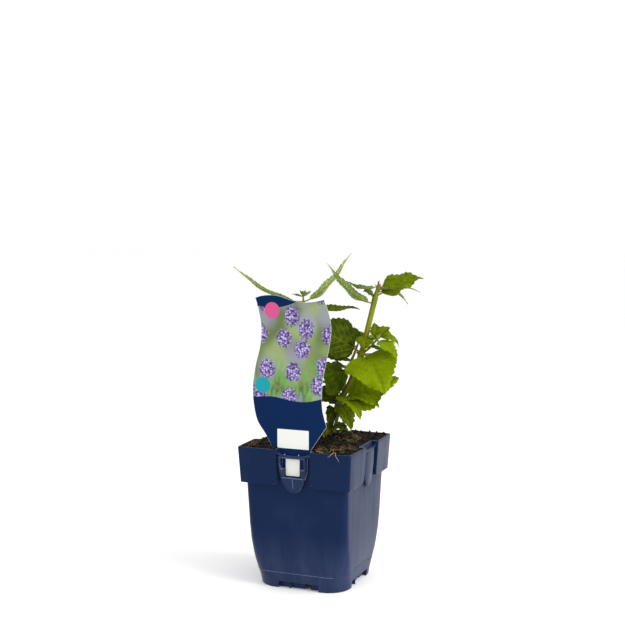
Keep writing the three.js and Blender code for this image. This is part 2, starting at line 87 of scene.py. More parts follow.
# The underside: the floor with its holes, and what stands under it. The ring of ribs has a notch
# in each side, and one divider on each side joins it to the wall.
FLOOR_THICK = 1.5
FLOOR_HALF = 44.4
FLOOR_CORNER = 18.5
FLOOR_SUNK = 0.7
DRAIN_PLACE = (26, 26)
DRAIN_RADIUS = 4.5
SLOT = [(-2.5, -32), (2.5, -32), (2.5, -18), (-2.5, -18)]
RIB_HEIGHT = 6.6
DISC_RADIUS = 12
RING_HALF = 39.5
RING_CORNER = 17
RING_THICK = 1.6
RING_FROM = 10.6
RING_TO = -5.6
DIVIDER = [(-9.1, -43), (-8.3, -43), (-8.3, -39), (-9.1, -39)]

# The clips, each a strap across the recess with a tongue behind it. The front one leans out more
# than the plain ones, and its tongue has a sunk face with raised lines and a window.
CLIP_BACK = 50.7
CLIP_THICK = 2
CLIP_HALF = 12.9
CLIP_ACROSS = -1.1
CLIP_TOP = 126.4
CLIP_BOTTOM = 92.4
CLIP_TAPER_FROM = 118
CLIP_BEVEL = 0.8
CLIP_RIM = 0.75
CLIP_SUNK = 0.45
FRONT_LEAN = 0.114
PLAIN_LEAN = 0.04
STRAP_BACK = 54
PLAIN_STRAP_BACK = 52.2
STRAP_THICK = 2.2
STRAP_END = 17.5
STRAP_MIDDLE_TOP = 127.1
STRAP_END_TOP = 131.4
STRAP_HEIGHT = 1.4
WINDOW_TOP = 125
WINDOW_STEP = 115.3
WINDOW_BOTTOM = 107
WINDOW_HALF = 7.8
WINDOW_UPPER_HALF = 11.4
WINDOW = [
    (-WINDOW_UPPER_HALF, WINDOW_TOP), (-WINDOW_UPPER_HALF, WINDOW_STEP), (-WINDOW_HALF, WINDOW_STEP),
    (-WINDOW_HALF, WINDOW_BOTTOM), (WINDOW_HALF, WINDOW_BOTTOM), (WINDOW_HALF, WINDOW_STEP),
    (WINDOW_UPPER_HALF, WINDOW_STEP), (WINDOW_UPPER_HALF, WINDOW_TOP),
]
LINE_THICK = 0.8
UPRIGHT_LINE = [(-0.35, 97), (0.35, 97), (0.45, 105.8), (-0.45, 105.8)]
LEVEL_LINES = [(-10.6, 106, 10.6, 106.9), (-11.9, 114.3, -8, 115.2), (8, 114.3, 11.9, 115.2)]
LINE_ROUND = 0.3

# How pale the front clip's foremost points are painted as a highlight, from 0 to 1
STRAP_HIGHLIGHT = 0.12
TONGUE_HIGHLIGHT = 0.65
LINE_HIGHLIGHT = 0.8

# The soil's surface, and how far the peat reaches towards a side: less behind the recess than
# behind the collar's panels
SOIL_LEVEL = 131.5
SOIL_MOUND = 3.2
MOUND_PLACE = (12, 14)
MOUND_SPREAD = 26
LUMP_HEIGHT = 0.45
COARSE_HEIGHT = 0.8
FINE_HEIGHT = 0.55
SOIL_GAP = 0.3
PEAT_PLACES = [17.2, 18.6]
PEAT_REACHES = [48.3, 53.0]
PEAT_CORNER = 2.5
PEAT_STEPS = 120

# Heights of the peat's rings below its surface, and how far it reaches just above the collar's ledge
PEAT_RINGS = [127, 101, 99, 80, 60, 44, 24, FLOOR_TOP + SOIL_GAP]
LEDGE_UP_TO = 110
LEDGE_REACH = 51.0

# Loose litter on the peat: lengths, radii and rises of the fibres as least and most, with a
# fibre's rise as a share of its length
LITTER_SEED = 7
FIBRE_LENGTHS = (3, 15)
FIBRE_RADII = (0.07, 0.17)
FIBRE_RISES = (0, 0.22)
TUFT_FIBRES = 7
TUFT_SPREAD = 2.6
TUFT_LENGTHS = (5, 14)
TUFT_RADII = (0.12, 0.2)
TUFT_RISES = (0.05, 0.45)
CHIPS = 150
CHIP_LENGTHS = (2, 6)
CHIP_WIDTHS = (0.3, 0.9)
ROOT_RADII = (0.36, 0.18)

# Where loose fibres lie thick on the peat, as X and Y
FIBRE_TUFTS = [(47, -28), (43, -38), (39, -7), (30, -44), (36, 14), (21, -43), (-44, -42), (-24, 30)]

# Fine roots as points from the peat outwards. Two hang over the front rim and one lies on it.
RIM_ROOTS = [
    [(39, -49, 132), (40.5, -53, 133), (41.2, -55.6, 132.6), (42, -56.6, 130.6), (43.8, -56.5, 128),
     (44.6, -56.3, 126)],
    [(39, -50, 132), (38.6, -53.5, 133), (37.8, -55.7, 132.5), (36.2, -56.6, 130.8), (34.2, -56.6, 129.2)],
    [(20, -48.5, 132), (22, -51.5, 133), (24.5, -53.6, 133.1), (27, -54.3, 132.9), (29, -54, 132.6)],
]

# The label's outline, as X and Z, and the borders of its printed fields
LABEL_MIDDLE_Y = -51.0
LABEL_RIGHT = [
    (31, 155.5), (29.3, 161), (26.9, 171), (26.3, 184), (27.4, 198), (30.8, 215), (34.4, 233), (35.2, 245),
    (33, 257.5), (28.4, 269.5),
]
LABEL_TOP = [
    (28.4, 269.5), (18, 267.3), (7, 266.6), (-4, 268.4), (-16.7, 271.8), (-25.4, 272.1), (-33, 271.1),
    (-38.5, 269.3),
]
LABEL_LEFT = [
    (-38.5, 269.3), (-35.4, 259.2), (-32.6, 243), (-33.8, 226), (-38.4, 207.8), (-41.3, 188), (-40.9, 175),
    (-37, 157), (-28.6, 144.5), (-21.7, 132.1),
]
LABEL_FOOT = [
    (-15.6, 132.1), (-15.6, 129), (-12.3, 124), (-12.3, 113), (-10.5, 106), (-7, 102.2), (-3, 101), (3, 101),
    (7, 102.2), (10.5, 106), (12.3, 113), (12.3, 124), (15.6, 129), (15.6, 132.5),
]
HEADER_BORDER = [(-36.7, 262.1), (-27.7, 261.2), (-20, 261), (-13.9, 261.7), (-6, 263.6), (2, 266.9)]
BAND_BORDER = [
    (-41, 178.1), (-30, 179.6), (-19.5, 179.7), (-6.9, 177.6), (5.6, 176.5), (14.2, 177.2), (26.3, 180.3),
]

# The label's prints: each is a thin film that keeps clear of the card's edge. Discs and dots are
# given by their middle, panels by two opposite corners.
PRINT_THICK = 0.04
PRINT_MARGIN = 0.16
PRINT_LIFT = 0.05
BACK_PRINT_LIFT = 0.08
SPOT_RADIUS = 7.3
UPPER_SPOT = (-21.9, 258.5)
LOWER_SPOT = (-31.4, 189.9)
PANEL = (-17, 133.2, 13.8, 150.6)
PANEL_CORNER = 0.6
TONGUE_PANEL = (-8.8, 108, 4.8, 125.2)
TONGUE_PANEL_CORNER = 1
DOT_RADIUS = 0.45
DOTS = [(-9.9, 127.4), (3.9, 127.6)]

# A shoot is its route, its thickness at the foot and tip, and its leaves. A leaf row is the height
# at which it leaves the shoot, heading and rise in degrees, length, width, arch, roll in degrees,
# and how lit its green is painted, from 0 to 1. A shoot may also say how many of its bud leaves are brown.
TALL_STEM = [
    {
        "route": [(6, 11, 116), (6, 11, 133), (18, 12, 165), (30, 14, 188), (40, 16, 216), (46.2, 18, 243),
                  (50, 20, 261), (54, 22, 279)],
        "thick": (4.8, 3.8),
        "withered": 6,
        "leaves": [
            (277, 210, 10, 30, 12, -4, 24, 0.45),
            (274, 11, -23, 32, 13, 5, -20, 0.7),
            (270, 38, 1, 44, 8, 5, 0, 0.6),
            (266, 172, 26, 14, 11, 2, 45, 0.5),
            (261, 218, 41, 59, 18, -8, 20, 0.6),
            (267, 20, 23, 48, 33, 3, 30, 0.68),
            (229, 285, -35, 18, 21, 3, 0, 0.65),
            (214, 213, 27, 58, 44, 3, -55, 0.22),
            (212, 317, -31, 57, 52, 6, 20, 1.0),
            (212, 80, -22, 52, 30, 6, 0, 0.6),
            (172, 220, 64, 39, 36, 0, -60, 0.35),
            (171, 196, 8, 25, 22, 3, -50, 0.2),
            (170, 5, 23, 60, 52, 0, 50, 1.0),
            (170, 342, -3, 46, 24, 6, 10, 0.9),
            (170, 320, -18, 40, 26, 8, 0, 1.0),
            (167, 232, 6, 25, 18, 4, -40, 0.1),
            (166, 328, -50, 31, 24, 4, 0, 0.6),
            (160, 263, -35, 21, 14, 5, -40, 0.2),
            (146, 277, -30, 18, 9, 2, -40, 0.4),
            (140, 333, 6, 29, 14, 4, 25, 0.35),
        ],
    },
    {
        "route": [(39, 16, 213), (47, 15, 219), (55, 16, 228)],
        "thick": (1.7, 1.3),
        "leaves": [
            (228, 125, 56, 18, 13, 0, 0, 0.6),
            (228, 55, 36, 18, 12, 2, 35, 0.6),
            (228, 35, -18, 23, 16, 6, 30, 0.7),
            (228, 217, 20, 9, 7, 1, -30, 0.7),
            (227, 342, -31, 29, 20, 3, 10, 1.0),
            (220, 32, -18, 14, 10, 2, 20, 0.6),
        ],
    },
]
BACK_STEM = [
    {
        "route": [(9, 23, 116), (9, 23, 133), (16, 24, 165), (22, 25, 195), (28, 28, 212), (32, 30, 224)],
        "thick": (3, 1.8),
        "leaves": [
            (222, 148, 64, 16, 12, 0, -60, 0.5),
            (219, 211, -14, 39, 28, 0, -40, 0.25),
            (220, 100, 30, 22, 14, 2, 0, 0.6),
            (206, 219, 2, 12, 6, 0, -30, 0.4),
            (198, 197, 1, 30, 18, 2, -12, 0.35),
            (198, 105, -20, 36, 24, 4, 0, 0.6),
            (160, 150, 5, 34, 20, 5, 0, 0.4),
            (160, 40, 0, 30, 18, 5, 0, 0.4),
        ],
    },
]
LABEL_SIDE_STEM = [
    {
        "route": [(-2, 10, 116), (-2, 10, 134), (-8, 7, 168), (-12, 4, 216), (-13, 0, 268)],
        "thick": (4.2, 2.4),
        "leaves": [
            (267, 0, 35, 10, 6, 0, -20, 0.6),
            (267, 208, 14, 11, 6, 0, 20, 0.6),
            (262, 209, 28, 73, 15, -8, 19, 0.7),
            (262, 36, 45, 64, 16, -8, -40, 0.5),
            (250, 22, 7, 53, 18, 2, 16, 0.45),
            (250, 206, -5, 40, 20, 4, 0, 0.5),
            (216, 285, 5, 43, 26, 6, 0, 0.5),
            (216, 102, 9, 43, 26, 4, 0, 0.6),
            (178, 196, 11, 44, 26, 4, -20, 0.5),
            (178, 93, 1, 39, 22, 4, 0, 0.5),
            (148, 314, -26, 26, 8, 2, -20, 0.4),
            (146, 162, -14, 26, 14, 4, 0, 0.4),
        ],
    },
]
# Each stem's piece, the node that it replaces, its shoots and the seed of its random draws
LEAFY_STEMS = [
    ("stem_tall", "leafy_stem_tall", TALL_STEM, 11),
    ("stem_back", "leafy_stem_back", BACK_STEM, 23),
    ("stem_by_label", "leafy_stem_by_label", LABEL_SIDE_STEM, 37),
]

# A shoot's radius as a share of its thickness, how far its four corners stand out, and how much
# and how far along it swells where a leaf leaves it
SHOOT_RADIUS = 0.56
SHOOT_RIDGE = 0.17
NODE_SWELL = 0.16
NODE_SPREAD = 1.8

# The share of a leaf's length that is its stalk, and how far the blade's halves fold up
PETIOLE_SHARE = 0.14
FOLD = math.radians(10)

# A leaf stalk's radius without its blade's share, how much it grows by each millimetre of the
# blade's width, and the width past which it grows no more
STALK_RADIUS = 0.42
STALK_GROWTH = 0.013
STALK_FULL_WIDTH = 34

# A tooth's rows as shares of its length, the share at which its tip stands and how deep it is cut.
# Then the blade's end past the last tooth: its length in teeth, and its rows as shares of it and as
# places in a tooth
TOOTH_ROWS = (0, 0.14, 0.4, 0.66, 0.86)
TOOTH_TIP = 0.86
TOOTH_DEPTH = 1.5
END_TEETH = 0.4
END_ROWS = (0, 0.35, 0.7, 0.9, 1)
END_PLACES = [0.0, 0.3, 0.5, 0.6, 0.7]

# The width from which a leaf is quilted in full, and how deep its midrib lies then
QUILTED_WIDTH = 24
MIDRIB_SUNK = 0.45

# The small leaves round a shoot's tip, with the first one's rise and length, their painted light, and
# the value in its place that stands for a brown leaf
BUDS = 6
BUD_TURN = 137.5
BUD_RISE = 80
BUD_LENGTH = 3.5
BUD_ARCH = 0.3
BUD_STEP = 0.25
WITHERED_STEP = 1.5
BUD_BRIGHT = 0.5
WITHERED = -1.0

# The stage: places and sizes in metres, turns in degrees, the camera's lens and sensor in millimetres
FLOOR_SIDE = 12
FLOOR_DROP = 0.0002
LIGHT_AIM = (0, 0, 0.15)
SIDE_LIGHT_PLACE = (1.1, -0.1, 0.7)
SIDE_LIGHT_SIZE = (0.9, 0.9)
FRONT_LIGHT_PLACE = (-0.5, -1.3, 1.1)
FRONT_LIGHT_SIZE = (1.2, 0.8)
CAMERA_PLACE = (0.4357, -1.0747, 0.3698)
CAMERA_PITCH = 90 - 5.78
CAMERA_HEADING = 22.23
CAMERA_LENS = 72
CAMERA_SENSOR = 36

# Colours of details that the settings leave as they are
# The painted highlight on the seam's crest and on the front clip's edges and lines
HIGHLIGHT_PLASTIC = (0.1, 0.13, 0.24)
CHIP = (0.11, 0.062, 0.03)
ROOT = (0.6, 0.42, 0.3)
CARD = (0.42, 0.44, 0.45)
PALE_CARD = (0.5, 0.52, 0.53)
WHITE_INK = (0.66, 0.67, 0.63)
PICTURED_LEAF = (0.1, 0.33, 0.05)
PICTURED_GAP = (0.055, 0.035, 0.13)
DARK_BROWN = (0.06, 0.03, 0.012)
PALE_BROWN = (0.42, 0.3, 0.15)
UPPER_VEIN = (0.33, 0.42, 0.03)
LOWER_VEIN = (0.46, 0.56, 0.2)
LEAF_SPOT = (0.5, 0.52, 0.12)
STEM_STREAK = (0.09, 0.1, 0.012)
STEM_FLECK = (0.16, 0.05, 0.03)


# Settings


def length_setting(name, description, default_mm):
    return FloatProperty(name=name, description=description, default=default_mm * MM, min=0, unit="LENGTH")


def colour_setting(name, description, default):
    return FloatVectorProperty(
        name=name, description=description, default=default, min=0, max=1, size=3, subtype="COLOR"
    )


class PotSettings(bpy.types.PropertyGroup):
    wall: length_setting("Wall", "Thickness of the moulded wall", 1.5)
    plastic: colour_setting("Plastic", "Colour of the pot's plastic", (0.0037, 0.0139, 0.051))
    # Also the colour that the plastic grows towards towards the foot
    worn_plastic: colour_setting("Worn plastic", "Colour of scuffs and dust", (0.0235, 0.035, 0.086))


class SoilSettings(bpy.types.PropertyGroup):
    crumbs: IntProperty(name="Crumbs", description="Number of loose crumbs on the peat", default=900, min=0)
    fibres: IntProperty(name="Fibres", description="Number of fibres on the peat", default=200, min=0)
    peat: colour_setting("Peat", "Colour of the wet peat", (0.004, 0.0031, 0.0026))
    dry_peat: colour_setting("Dry peat", "Colour of the dry crumbs", (0.03, 0.0195, 0.0125))
    fibre: colour_setting("Fibre", "Colour of the coir fibres", (0.46, 0.31, 0.12))


class LabelSettings(bpy.types.PropertyGroup):
    thickness: length_setting("Thickness", "Thickness of the plastic card", 0.5)
    band: colour_setting("Band", "Colour of the plain printed fields", (0.001, 0.0115, 0.051))
    blossom: colour_setting("Blossom", "Main colour of the printed blossoms", (0.2, 0.15, 0.36))
    meadow: colour_setting("Meadow", "Main colour behind the printed blossoms", (0.108, 0.15, 0.048))
    warm_spot: colour_setting("Upper spot", "Colour of the upper plain disc", (0.48, 0.07, 0.195))
    cool_spot: colour_setting("Lower spot", "Colour of the lower plain disc", (0.01, 0.25, 0.3))


class PlantSettings(bpy.types.PropertyGroup):
    blade: length_setting("Blade", "Thickness of a leaf blade", 0.32)
    tooth: length_setting("Tooth", "Distance between two teeth of a leaf's edge", 4.2)
    quilt: length_setting("Quilt", "How far the blade swells between its side veins", 0.5)
    dark_leaf: colour_setting("Dark leaf", "Colour of the shaded leaves", (0.022, 0.034, 0.001))
    # Painted light: the colour of the leaves that are painted as fully lit
    painted_lit_leaf: colour_setting("Bright leaf", "Colour of the brightest leaves", (0.165, 0.232, 0.0))
    underside: colour_setting("Underside", "Colour of the leaves' lower faces", (0.26, 0.33, 0.1))
    stem: colour_setting("Stem", "Colour of the young stem", (0.175, 0.19, 0.004))


class StageSettings(bpy.types.PropertyGroup):
    floor: colour_setting("Floor", "Colour of the floor", (0.955, 0.955, 0.955))
    side_light: FloatProperty(
        name="Side light", description="Power of the light on the right", default=13.5, min=0, unit="POWER"
    )
    front_light: FloatProperty(
        name="Front light", description="Power of the light in front", default=3.9, min=0, unit="POWER"
    )
    surround: FloatProperty(
        name="Surround", description="Strength of the light from all round", default=1.05, min=0
    )


# Small tools for meshes


def take_up(obj):
    """Selects one object alone and makes it the active one."""
    bpy.ops.object.select_all(action="DESELECT")
    obj.select_set(True)
    bpy.context.view_layer.objects.active = obj


def edit(obj, *steps):
    """Runs steps in edit mode on one object with everything in it selected."""
    take_up(obj)
    bpy.ops.object.mode_set(mode="EDIT")
    bpy.ops.mesh.select_all(action="SELECT")
    for step in steps:
        step()
    bpy.ops.object.mode_set(mode="OBJECT")


def weld():
    bpy.ops.mesh.remove_doubles(threshold=1e-6)


def face_outwards():
    bpy.ops.mesh.normals_make_consistent(inside=False)


def smooth(obj, degrees):
    take_up(obj)
    bpy.ops.object.shade_smooth_by_angle(angle=math.radians(degrees))


def apply_modifier(obj, kind, **values):
    take_up(obj)
    modifier = obj.modifiers.new(kind.title(), kind)
    for key, value in values.items():
        setattr(modifier, key, value)
    bpy.ops.object.modifier_apply(modifier=modifier.name)


def join(name, parts):
    """Joins objects into the first one and names it."""
    take_up(parts[0])
    for part in parts[1:]:
        part.select_set(True)
    if len(parts) > 1:
        bpy.ops.object.join()
    made = bpy.context.object
    made.name = made.data.name = name
    return made


def copy_turned(obj, degrees):
    """A copy with its own mesh, turned about the pot's axis."""
    twin = obj.copy()
    twin.data = obj.data.copy()
    twin.data.transform(Matrix.Rotation(math.radians(degrees), 4, "Z"))
    bpy.context.collection.objects.link(twin)
    return twin


def grid_shaped(name, places):
    """A grid primitive whose points are put at places[row][column], and each point's row and
    column."""
    places = np.asarray(places, float)
    rows, columns = places.shape[:2]
    bpy.ops.object.select_all(action="DESELECT")
    bpy.ops.mesh.primitive_grid_add(x_subdivisions=columns - 1, y_subdivisions=rows - 1, size=2)
    obj = bpy.context.object
    obj.name = obj.data.name = name
    flat = np.empty(len(obj.data.vertices) * 3)
    obj.data.vertices.foreach_get("co", flat)
    flat = flat.reshape(-1, 3)
    column = np.rint((flat[:, 0] + 1) / 2 * (columns - 1)).astype(int)
    row = np.rint((flat[:, 1] + 1) / 2 * (rows - 1)).astype(int)
    obj.data.vertices.foreach_set("co", (places[row, column] * MM).ravel())
    obj.data.update()
    return obj, row, column


def mesh_from(name, shells):
    """One object from many small shells, each a pair of points and faces."""
    points = []
    faces = []
    for shell_points, shell_faces in shells:
        start = len(points)
        points.extend(tuple(p * MM) for p in np.asarray(shell_points, float))
        faces.extend([i + start for i in face] for face in shell_faces)
    mesh = bpy.data.meshes.new(name)
    mesh.from_pydata(points, [], faces)
    obj = bpy.data.objects.new(name, mesh)
    bpy.context.collection.objects.link(obj)
    return obj


def set_attribute(obj, name, values):
    """Stores one vector for each point, for the materials to read."""
    attribute = obj.data.attributes.new(name, "FLOAT_VECTOR", "POINT")
    attribute.data.foreach_set("vector", np.asarray(values, float).ravel())


def plate(name, loops, thickness, edge_round=0.0):
    """A flat plate in X and Y from closed loops; a loop inside another is a hole."""
    curve = bpy.data.curves.new(name, "CURVE")
    curve.dimensions = "2D"
    curve.fill_mode = "BOTH"
    curve.extrude = (thickness / 2 - edge_round) * MM
    curve.bevel_depth = edge_round * MM
    curve.bevel_resolution = 1
    curve.offset = -edge_round * MM
    for loop in loops:
        spline = curve.splines.new("POLY")
        spline.points.add(len(loop) - 1)
        for point, (x, y) in zip(spline.points, loop):
            point.co = (x * MM, y * MM, 0, 1)
        spline.use_cyclic_u = True
    obj = bpy.data.objects.new(name, curve)
    bpy.context.collection.objects.link(obj)
    take_up(obj)
    bpy.ops.object.convert(target="MESH")
    made = bpy.context.object
    edit(made, weld, face_outwards)
    return made


def stand_up(obj, y):
    """Turns a flat plate upright, so that its Y becomes Z, with its middle at depth y."""
    obj.data.transform(Matrix.Translation((0, y * MM, 0)) @ Matrix.Rotation(math.radians(90), 4, "X"))
    return obj


def raised(obj, z):
    """Lifts a flat plate until its middle lies at height z."""
    obj.data.transform(Matrix.Translation((0, 0, z * MM)))
    return obj


def circle(x, y, radius, count):
    turns = [2 * math.pi * k / count for k in range(count)]
    return [(x + radius * math.cos(t), y + radius * math.sin(t)) for t in turns]


def rounded_panel(x0, z0, x1, z1, corner):
    """A rectangle between two opposite corners, with round corners, as a loop."""
    steps = 4
    loop = []
    for cx, cz, start in ((x1, z1, 0), (x0, z1, 90), (x0, z0, 180), (x1, z0, 270)):
        sx = corner if cx == x0 else -corner
        sz = corner if cz == z0 else -corner
        for k in range(steps + 1):
            turn = math.radians(start + k * 90 / steps)
            loop.append((cx + sx + corner * math.cos(turn), cz + sz + corner * math.sin(turn)))
    return loop


def smooth_course(points, count):
    """Evenly spaced points on a smooth curve through the given ones. Its slope at each is weighed by
    the distances to the points beside it, so that it makes no loops."""
    p = np.asarray(points, float)
    p = np.vstack([2 * p[0] - p[1], p, 2 * p[-1] - p[-2]])
    fine = []
    for i in range(1, len(p) - 2):
        d0, d1, d2 = [np.sum((p[j + 1] - p[j]) ** 2) ** 0.25 for j in (i - 1, i, i + 1)]
        start = (p[i] - p[i - 1]) / d0 - (p[i + 1] - p[i - 1]) / (d0 + d1) + (p[i + 1] - p[i]) / d1
        end = (p[i + 1] - p[i]) / d1 - (p[i + 2] - p[i]) / (d1 + d2) + (p[i + 2] - p[i + 1]) / d2
        start *= d1
        end *= d1
        t = np.linspace(0, 1, 60, endpoint=i == len(p) - 3)[:, None]
        fine.append(
            p[i] + start * t + (3 * (p[i + 1] - p[i]) - 2 * start - end) * t**2
            + (2 * (p[i] - p[i + 1]) + start + end) * t**3
        )
    fine = np.vstack(fine)
    run = np.r_[0, np.cumsum(np.linalg.norm(np.diff(fine, axis=0), axis=1))]
    at = np.linspace(0, run[-1], count)
    return np.stack([np.interp(at, run, fine[:, k]) for k in range(fine.shape[1])], axis=1)


def tube(path, radii, sides, frames=None, ridge=0.0):
    """Points and faces of a closed tube. frames gives each stop's two cross directions; ridge
    draws a round section out to four corners."""
    path = np.asarray(path, float)
    count = len(path)
    if frames is None:
        tangents = np.gradient(path, axis=0)
        tangents /= np.linalg.norm(tangents, axis=1)[:, None]
        across = np.cross(tangents[0], UP if abs(tangents[0][2]) < 0.9 else [1.0, 0, 0])
        frames = []
        for tangent in tangents:
            across = across - tangent * (across @ tangent)
            across = across / np.linalg.norm(across)
            frames.append((across, np.cross(tangent, across)))
    turns = np.arange(sides) * 2 * math.pi / sides
    swell = 1 + ridge * np.cos(4 * turns)
    rings = [
        path[i] + radii[i] * swell[:, None] * (
            np.cos(turns)[:, None] * frames[i][0] + np.sin(turns)[:, None] * frames[i][1]
        )
        for i in range(count)
    ]
    faces = []
    for i in range(count - 1):
        for j in range(sides):
            a = i * sides + j
            b = i * sides + (j + 1) % sides
            faces.append((a, b, b + sides, a + sides))
    faces.append(tuple(range(sides))[::-1])
    faces.append(tuple(range((count - 1) * sides, count * sides)))
    return np.vstack(rings), faces


# Small tools for materials


class Finish:
    """A node material with one principled shader, built line by line."""

    def __init__(self, name, roughness, **sockets):
        self.material = bpy.data.materials.new(name)
        self.material.use_nodes = True
        self.nodes = self.material.node_tree.nodes
        self.links = self.material.node_tree.links
        self.shader = self.nodes["Principled BSDF"]
        self.shader.inputs["Roughness"].default_value = roughness
        for key, value in sockets.items():
            self.shader.inputs[key.replace("_", " ")].default_value = value

    def node(self, kind, values=None, **settings):
        made = self.nodes.new("ShaderNode" + kind)
        for key, value in settings.items():
            setattr(made, key, value)
        for key, value in (values or {}).items():
            if isinstance(value, bpy.types.NodeSocket):
                self.links.new(value, made.inputs[key])
            else:
                made.inputs[key].default_value = value
        return made

    def place(self):
        """Object coordinates, in metres."""
        return self.node("TexCoord").outputs["Object"]

    def scaled(self, vector, scale, turn=(0, 0, 0)):
        return self.node("Mapping", {"Vector": vector, "Scale": scale, "Rotation": turn}).outputs["Vector"]

    def own(self, name):
        return self.node("Attribute", attribute_name=name).outputs["Vector"]

    def parts(self, vector):
        return self.node("SeparateXYZ", {"Vector": vector}).outputs

    def grain(self, vector, scale, detail=3.0, rough=0.55):
        values = {"Vector": vector, "Scale": scale, "Detail": detail, "Roughness": rough}
        return self.node("TexNoise", values).outputs["Fac"]

    def cells(self, vector, scale, feature="F1", output="Distance", random=1.0, dimensions="3D"):
        values = {"Vector": vector, "Scale": scale, "Randomness": random}
        made = self.node("TexVoronoi", values, feature=feature, voronoi_dimensions=dimensions)
        return made.outputs[output]

    def math(self, kind, a, b=0.0):
        return self.node("Math", {0: a, 1: b}, operation=kind).outputs[0]

    def span(self, value, low, high, to_low=0.0, to_high=1.0):
        """A smooth step from one value at low to another at high; low may be the greater."""
        values = {"Value": value, "From Min": low, "From Max": high, "To Min": to_low, "To Max": to_high}
        return self.node("MapRange", values, interpolation_type="SMOOTHSTEP").outputs["Result"]

    def mix(self, share, a, b, blend="MIX"):
        made = self.node("Mix", data_type="RGBA", blend_type=blend)
        for socket, value in ((made.inputs[0], share), (made.inputs[6], a), (made.inputs[7], b)):
            if isinstance(value, bpy.types.NodeSocket):
                self.links.new(value, socket)
            elif isinstance(value, (int, float)):
                socket.default_value = value
            else:
                socket.default_value = (*value[:3], 1)
        return made.outputs[2]

    def paint(self, colour):
        self.links.new(colour, self.shader.inputs["Base Color"])
        return self

    def gloss(self, roughness):
        self.links.new(roughness, self.shader.inputs["Roughness"])
        return self

    def relief(self, height, depth, strength):
        """Raises the surface by a pattern, to a depth in millimetres."""
        made = self.node("Bump", {"Height": height, "Distance": depth * MM, "Strength": strength})
        self.links.new(made.outputs["Normal"], self.shader.inputs["Normal"])
        return self


def pot_plastic(settings):
    """Matte moulded plastic with faint streaks, scuffs and blotches, paler towards the foot, with painted
    highlights.
    """
    made = Finish(
        "moulded_plastic", 0.42, Specular_IOR_Level=0.06, Sheen_Weight=0.38, Sheen_Roughness=0.3,
        Sheen_Tint=(1, 0.98, 0.92, 1)
    )
    place = made.place()
    streaks = made.grain(made.scaled(place, (160, 160, 9)), 1, 4)
    blotches = made.grain(place, 28, 4)
    scuffs = made.grain(made.scaled(place, (900, 900, 60), (0.3, 0.2, 0)), 1, 2)
    height = made.parts(place)[2]
    # Paler towards the foot, in full below 12 mm and gone at 60 mm
    paler_low = made.span(height, 0.012, 0.06, 1.0, 0)
    worn = made.math("MULTIPLY", made.span(scuffs, 0.62, 0.78), 0.22)
    worn = made.math("ADD", worn, made.span(blotches, 0.45, 0.75, 0, 0.22))
    worn = made.math("ADD", worn, made.math("MULTIPLY", paler_low, made.span(streaks, 0.2, 0.7, 0.45, 1)))
    colour = made.mix(worn, settings.plastic, settings.worn_plastic)
    # Painted highlight along the crest of the seam above the front feet, and on the front clip's marked
    # points
    off = made.math("ABSOLUTE", made.math("SUBTRACT", height, SEAM_HEIGHT * MM))
    crest = made.span(off, 3 * SEAM_CREST_HALF * MM, SEAM_CREST_HALF * MM)
    painted_highlight = made.math("MULTIPLY", crest, made.span(scuffs, 0.3, 0.55, 0.25, 1))
    front = made.span(made.parts(place)[1], -0.0435, -0.045)
    painted_highlight = made.math("MAXIMUM", made.math("MULTIPLY", painted_highlight, front), made.parts(made.own("painted_highlight"))[0])
    made.paint(made.mix(painted_highlight, colour, HIGHLIGHT_PLASTIC))
    made.gloss(made.span(made.math("ADD", streaks, blotches), 0.7, 1.3, 0.34, 0.52))
    return made.relief(made.grain(place, 2200, 2), 0.02, 0.35).material


def peat(settings):
    """Dark wet peat, clumped and gritty, with dry patches and a few tan specks."""
    made = Finish("wet_peat", 0.95, Specular_IOR_Level=0.15)
    place = made.place()
    clumps = made.grain(place, 260, 5, 0.7)
    grit = made.cells(place, 900)
    patches = made.span(made.grain(place, 95, 3), 0.36, 0.62, 0.2, 1)
    dry = made.math("MULTIPLY", made.span(clumps, 0.38, 0.72), patches)
    colour = made.mix(dry, settings.peat, settings.dry_peat)
    colour = made.mix(made.span(made.grain(place, 1300, 3), 0.62, 0.72, 0, 0.12), colour, settings.fibre)
    made.paint(colour)
    return made.relief(made.math("ADD", clumps, made.math("MULTIPLY", grit, 0.5)), 1.2, 0.9).material


def dry_litter(name, settings, tint, soiled=1.0):
    """Fibres, chips and roots: dry plant stuff of uneven tone, soiled in patches."""
    made = Finish(name, 0.8, Specular_IOR_Level=0.2)
    place = made.place()
    colour = made.mix(made.grain(place, 700, 3), [0.35 * c for c in tint], tint)
    colour = made.mix(made.span(made.grain(place, 90, 2), 0.4, 0.65, 0, soiled), colour, settings.dry_peat)
    made.paint(colour)
    return made.relief(made.grain(place, 2500, 2), 0.05, 0.5).material


def card_plastic():
    """The bare card at the edges and on the back: pale plastic with a fine grain."""
    made = Finish("card_plastic", 0.4, Specular_IOR_Level=0.3)
    place = made.place()
    made.paint(made.mix(made.grain(place, 60), CARD, PALE_CARD))
    return made.relief(made.grain(place, 1500, 2), 0.01, 0.3).material


def plain_print(name, colour, paler):
    """One printed colour with the ink's fine dots and a slow change of tone."""
    made = Finish(name, 0.36, Specular_IOR_Level=0.05)
    place = made.place()
    tone = made.math("MULTIPLY", made.grain(place, 35, 2), 0.6)
    dots = made.math("MULTIPLY", made.cells(place, 2600), 0.35)
    share = made.math("ADD", tone, dots)
    made.paint(made.mix(share, colour, [min(1, paler * c) for c in colour]))
    return made.relief(made.grain(place, 900, 2), 0.008, 0.3).material


